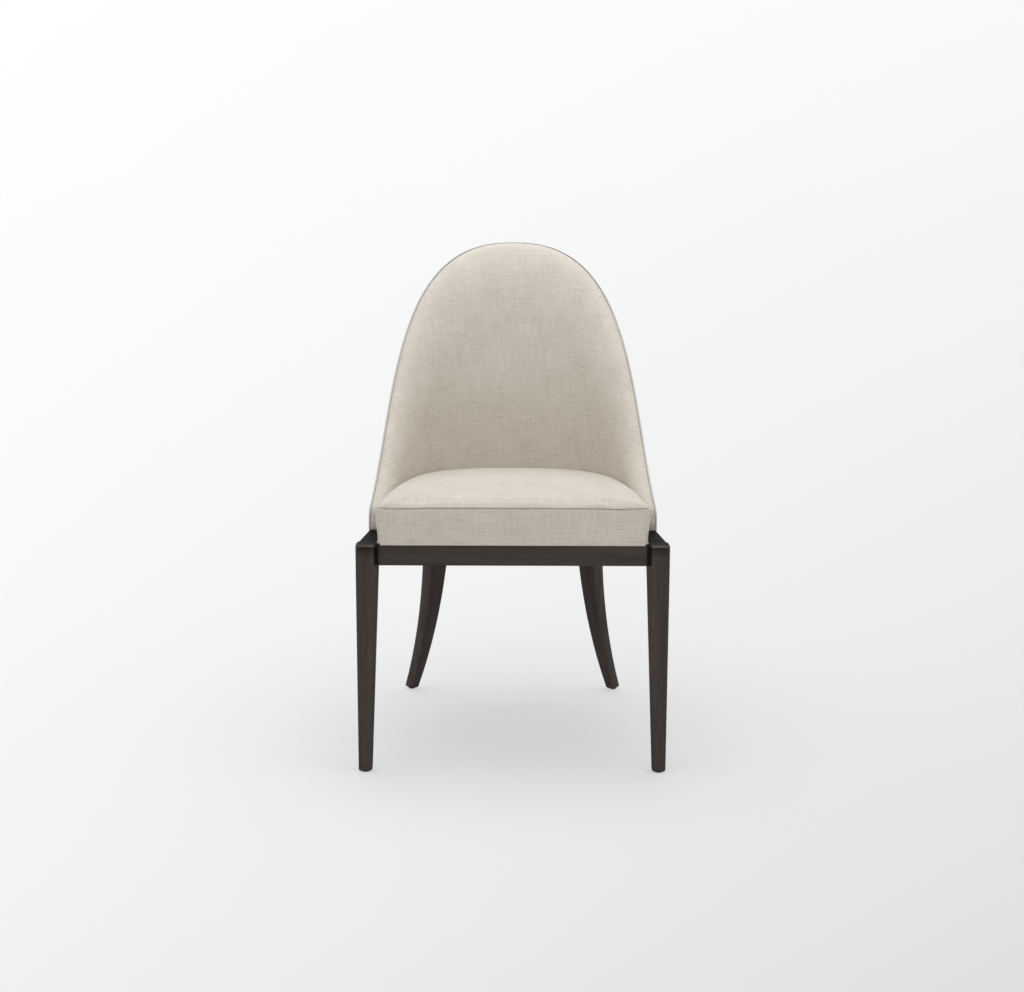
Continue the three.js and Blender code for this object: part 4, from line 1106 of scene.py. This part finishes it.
DUST_THICKNESS = 0.8
DUST_CLOTH = 0.4
DUST_SAG = 3.5
DUST_SAG_POWER = 1.5
DUST_PUCKER = 0.5
DUST_PUCKERS = 34
DUST_PUCKER_POWER = 8
DUST_PUCKER_GAIN = 8
DUST_LEAST_SHARE = 0.04
LEVEL_ERROR = 1e-5


def dust_outline(rays):
    """Middle, reach along rays and height of the dust cloth, from its solid."""
    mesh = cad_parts["dust_cloth"].data
    low = min(v.co.z for v in mesh.vertices)
    uses = {}
    for face in mesh.polygons:
        corners = [mesh.vertices[i].co for i in face.vertices]
        if max(c.z for c in corners) > low + LEVEL_ERROR:
            continue
        spots = [(round(c.x, 6), round(c.y, 6)) for c in corners]
        for spot, following in zip(spots, spots[1:] + spots[:1]):
            key = tuple(sorted((spot, following)))
            uses[key] = uses.get(key, 0) + 1
    edges = np.array([[*a, *b] for (a, b), count in uses.items() if count == 1])
    middle = np.array([0, FRONT_Y + SEAT_MIDDLE * MM])
    start, end = edges[:, :2] - middle, edges[:, 2:] - middle
    reach = []
    for angle in rays:
        ray = np.array([math.cos(angle), math.sin(angle)])
        before = start[:, 0] * ray[1] - start[:, 1] * ray[0]
        after = end[:, 0] * ray[1] - end[:, 1] * ray[0]
        crossing = (before * after <= 0) & (before != after)
        share = before[crossing] / (before[crossing] - after[crossing])
        hits = start[crossing] + (end[crossing] - start[crossing]) * share[:, None]
        distances = hits @ ray
        reach.append(distances[distances > 0].min())
    reach = np.array(reach)
    reach = np.minimum(reach, np.minimum(np.roll(reach, 1), np.roll(reach, -1)))
    return middle, reach, low


def dust_sheet():
    """Black cambric tacked under the frame, sagging a little between its edges."""
    rays = np.linspace(0, 2 * math.pi, DUST_RAYS + 1)[:-1]
    middle, reach, low = dust_outline(rays)
    way = np.stack([np.cos(rays), np.sin(rays)], 1)
    sag = DUST_SAG * MM
    rings = []
    levels = [(1, DUST_THICKNESS * MM), (1, 0)]
    levels += [(share, 0) for share in np.linspace(1, DUST_LEAST_SHARE, DUST_RINGS)[1:]]
    for share, lift in levels:
        plan = middle + way * (reach * share)[:, None]
        drop = sag * (1 - share**2) ** DUST_SAG_POWER
        pucker = DUST_PUCKER * MM * np.sin(rays * DUST_PUCKERS)
        pucker = pucker * share**DUST_PUCKER_POWER * (1 - share) * DUST_PUCKER_GAIN
        rings.append(np.column_stack([plan, low + lift - drop - np.abs(pucker)]))
    points = np.concatenate(rings + [[[*middle, low - sag]]])
    m = len(rays)
    faces = tube_faces(len(rings), m)
    last = (len(rings) - 1) * m
    faces += [(last + j, last + (j + 1) % m, len(points) - 1) for j in range(m)]
    sheet = new_object("dust_sheet", points, faces, points[:, :2])
    solid = sheet.modifiers.new("cloth", "SOLIDIFY")
    solid.thickness = DUST_CLOTH * MM
    solid.offset = 0
    area = float(0.5 * (reach**2).sum() * (rays[1] - rays[0]))
    return sheet, area


# Soft pieces

points, faces, uv = seat_mesh()
seat_move = swell("seat_sim", points, faces, seat_hold)
shift = np.array([seat_move(p) for p in points])
shift[:, :2] *= PLAN_MOVE_SHARE
points = points + shift
seat = new_object("seat_cushion", points, faces, uv)
seat.data.materials.append(LINEN)
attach(seat, "root")
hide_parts("seat_cover", "seat_foam")

pad = loft("back_pad", *back_pad())
pad.data.materials.append(SHADED_WING_LINEN)
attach(pad, "root")
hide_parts("back_inner_cover", "back_foam")

outer = loft("back_outer_sheet", *outer_cover())
outer.data.materials.append(LINEN)
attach(outer, "root")
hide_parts("back_outer_cover")

cord = loft("back_welt_cord", *welt())
cord.data.materials.append(WELT_CLOTH)
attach(cord, "root")
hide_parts("back_welt")

dust, dust_area = dust_sheet()
dust.data.materials.append(CAMBRIC)
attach(dust, "root")
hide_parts("dust_cloth")

# Stage, light and camera

PITCH = math.radians(9.895)
ROLL = math.radians(0.17)
EYE = Vector((0, FRONT_Y - 3.5175, 1.1324))
FORWARD = Vector((0, math.cos(PITCH), -math.sin(PITCH)))
UPWARD = Vector((0, math.sin(PITCH), math.cos(PITCH)))
SENSOR_WIDTH = 36
PICTURE_WIDTH = 1024
FOCAL_LENGTH = 1983.47
SHIFT = -0.9
ALL_ROUND_LIGHT = 0.52
OVERHEAD_LIGHT = 1.36
OVERHEAD_POWER = 4
SOFTBOX_SIZE = 1.2
SOFTBOX_POWER = 6.7
SOFTBOX_PLACE = Vector((0, 0.1, 1.8))
# light that reaches the open floor: far off, and what the softbox adds right below it
FLOOR_LIGHT = 0.973
SOFTBOX_FLOOR_LIGHT = 0.195
FLOOR_REACH = 60
GLOW_SHARE = 0.58

# Tone of the backdrop: its middle, slopes, curve and twist, and how far out they count
TONE = 0.9044
TONE_ACROSS = -0.191
TONE_ABOVE = 0.327
TONE_CURVE = -0.235
TONE_TWIST = 0.316
TONE_REACH = 0.3
LEAST_FACING = 0.15
WINDOW = (0.6, 0.93)
# Tone by slope of the way outside the picture: from and to, and what it adds there
AROUND = (-0.42, 0.08, -0.1, 0.075)


def backdrop_tone(tree, way):
    """Brightness of the backdrop by direction from a fixed place ahead of the chair."""
    way = vector_maths(tree, "NORMALIZE", {0: way})

    def along(axis):
        return vector_maths(tree, "DOT_PRODUCT", {0: way, 1: axis}, "Value")

    facing = along(FORWARD)
    ahead = maths(tree, "MAXIMUM", facing, LEAST_FACING)
    across, above = (
        held(tree, maths(tree, "DIVIDE", along(axis), ahead), TONE_REACH)
        for axis in ((1, 0, 0), UPWARD)
    )
    tone = weighted(
        tree,
        (above, across, TONE_TWIST),
        (above, above, TONE_CURVE),
        (across, TONE_ACROSS),
        (above, TONE_ABOVE),
    )
    # outside the picture the backdrop is the same all round
    window = ranged(tree, facing, *WINDOW, interpolation_type="SMOOTHSTEP")
    around = ranged(tree, along((0, 0, 1)), *AROUND)
    both = add(tree, "ShaderNodeMix", {0: window, 2: around, 3: tone})
    return maths(tree, "ADD", both.outputs[0], TONE)


corners = [(-1, -1, 0), (1, -1, 0), (1, 1, 0), (-1, 1, 0)]
corners = [(x * FLOOR_REACH, y * FLOOR_REACH, z) for x, y, z in corners]
floor = new_object("floor", corners, [(0, 1, 2, 3)], smooth=False)
floor_paint, tree, shader = node_material("floor_paint")
shader.inputs["Base Color"].default_value = srgb(237, 236, 235)
shader.inputs["Roughness"].default_value = 1
shader.inputs["Specular IOR Level"].default_value = 0
place = add(tree, "ShaderNodeNewGeometry").outputs["Position"]
tone = backdrop_tone(tree, vector_maths(tree, "SUBTRACT", {0: place, 1: EYE}))
strength = product(tree, tone, GLOW_SHARE)
glow = add(tree, "ShaderNodeEmission", {"Color": (1, 1, 1, 1), "Strength": strength})
below = {0: place, 1: (SOFTBOX_PLACE.x, SOFTBOX_PLACE.y, 0)}
sideways = vector_maths(tree, "DISTANCE", below, "Value")
square = SOFTBOX_PLACE.z**2
reach = maths(tree, "ADD", maths(tree, "POWER", sideways, 2), square)
spread = maths(tree, "POWER", maths(tree, "DIVIDE", square, reach), 2)
open_light = product(tree, spread, SOFTBOX_FLOOR_LIGHT)
open_light = maths(tree, "ADD", open_light, FLOOR_LIGHT)
reflected = maths(tree, "DIVIDE", product(tree, tone, 1 - GLOW_SHARE), open_light)
paint = add(tree, "ShaderNodeCombineColor", dict.fromkeys(range(3), reflected))
matt = add(tree, "ShaderNodeBsdfDiffuse", {"Color": paint.outputs[0]})
shown = add(tree, "ShaderNodeAddShader", {0: glow.outputs[0], 1: matt.outputs[0]})
seen = add(tree, "ShaderNodeLightPath").outputs["Is Camera Ray"]
both = {0: seen, 1: shader.outputs[0], 2: shown.outputs[0]}
mix = add(tree, "ShaderNodeMixShader", both)
tree.links.new(mix.outputs[0], tree.nodes["Material Output"].inputs["Surface"])
floor.data.materials.append(floor_paint)

world = bpy.data.worlds.new("studio")
bpy.context.scene.world = world
world.use_nodes = True
tree = world.node_tree
tree.nodes.clear()
output = tree.nodes.new("ShaderNodeOutputWorld")
rays = add(tree, "ShaderNodeLightPath").outputs
seen = maths(tree, "MAXIMUM", rays["Is Glossy Ray"], rays["Is Transmission Ray"])
seen = maths(tree, "MAXIMUM", rays["Is Camera Ray"], seen)
way = add(tree, "ShaderNodeTexCoord").outputs["Generated"]
above = maths(tree, "MAXIMUM", split(tree, way)["Z"], 0)
upward = maths(tree, "POWER", above, OVERHEAD_POWER)


def background(colour, strength):
    settings = {"Color": colour, "Strength": strength}
    return add(tree, "ShaderNodeBackground", settings).outputs[0]


all_round = background((1, 0.985, 0.97, 1), ALL_ROUND_LIGHT)
from_above = product(tree, upward, OVERHEAD_LIGHT)
overhead = background((0.965, 1, 1.045, 1), from_above)
lit = add(tree, "ShaderNodeAddShader", {0: all_round, 1: overhead})
shown = background((1, 1, 1, 1), backdrop_tone(tree, way))
mix = add(tree, "ShaderNodeMixShader", {0: seen, 1: lit.outputs[0], 2: shown})
tree.links.new(mix.outputs[0], output.inputs["Surface"])

box_data = bpy.data.lights.new("softbox", "AREA")
box_data.shape = "SQUARE"
box_data.size = SOFTBOX_SIZE
box_data.energy = SOFTBOX_POWER
softbox = bpy.data.objects.new("softbox", box_data)
softbox.location = SOFTBOX_PLACE
softbox.visible_camera = False
bpy.context.scene.collection.objects.link(softbox)

camera_data = bpy.data.cameras.new("camera")
camera_data.sensor_width = SENSOR_WIDTH
camera_data.lens = SENSOR_WIDTH * FOCAL_LENGTH / PICTURE_WIDTH
camera_data.shift_x = SHIFT / PICTURE_WIDTH
camera_data.clip_end = 200
camera = bpy.data.objects.new("camera", camera_data)
camera.location = EYE
tilt = Matrix.Rotation(math.pi / 2 - PITCH, 4, "X")
camera.rotation_euler = (tilt @ Matrix.Rotation(ROLL, 4, "Z")).to_euler()
bpy.context.scene.collection.objects.link(camera)
bpy.context.scene.camera = camera

bpy.context.scene.view_settings.view_transform = "Standard"
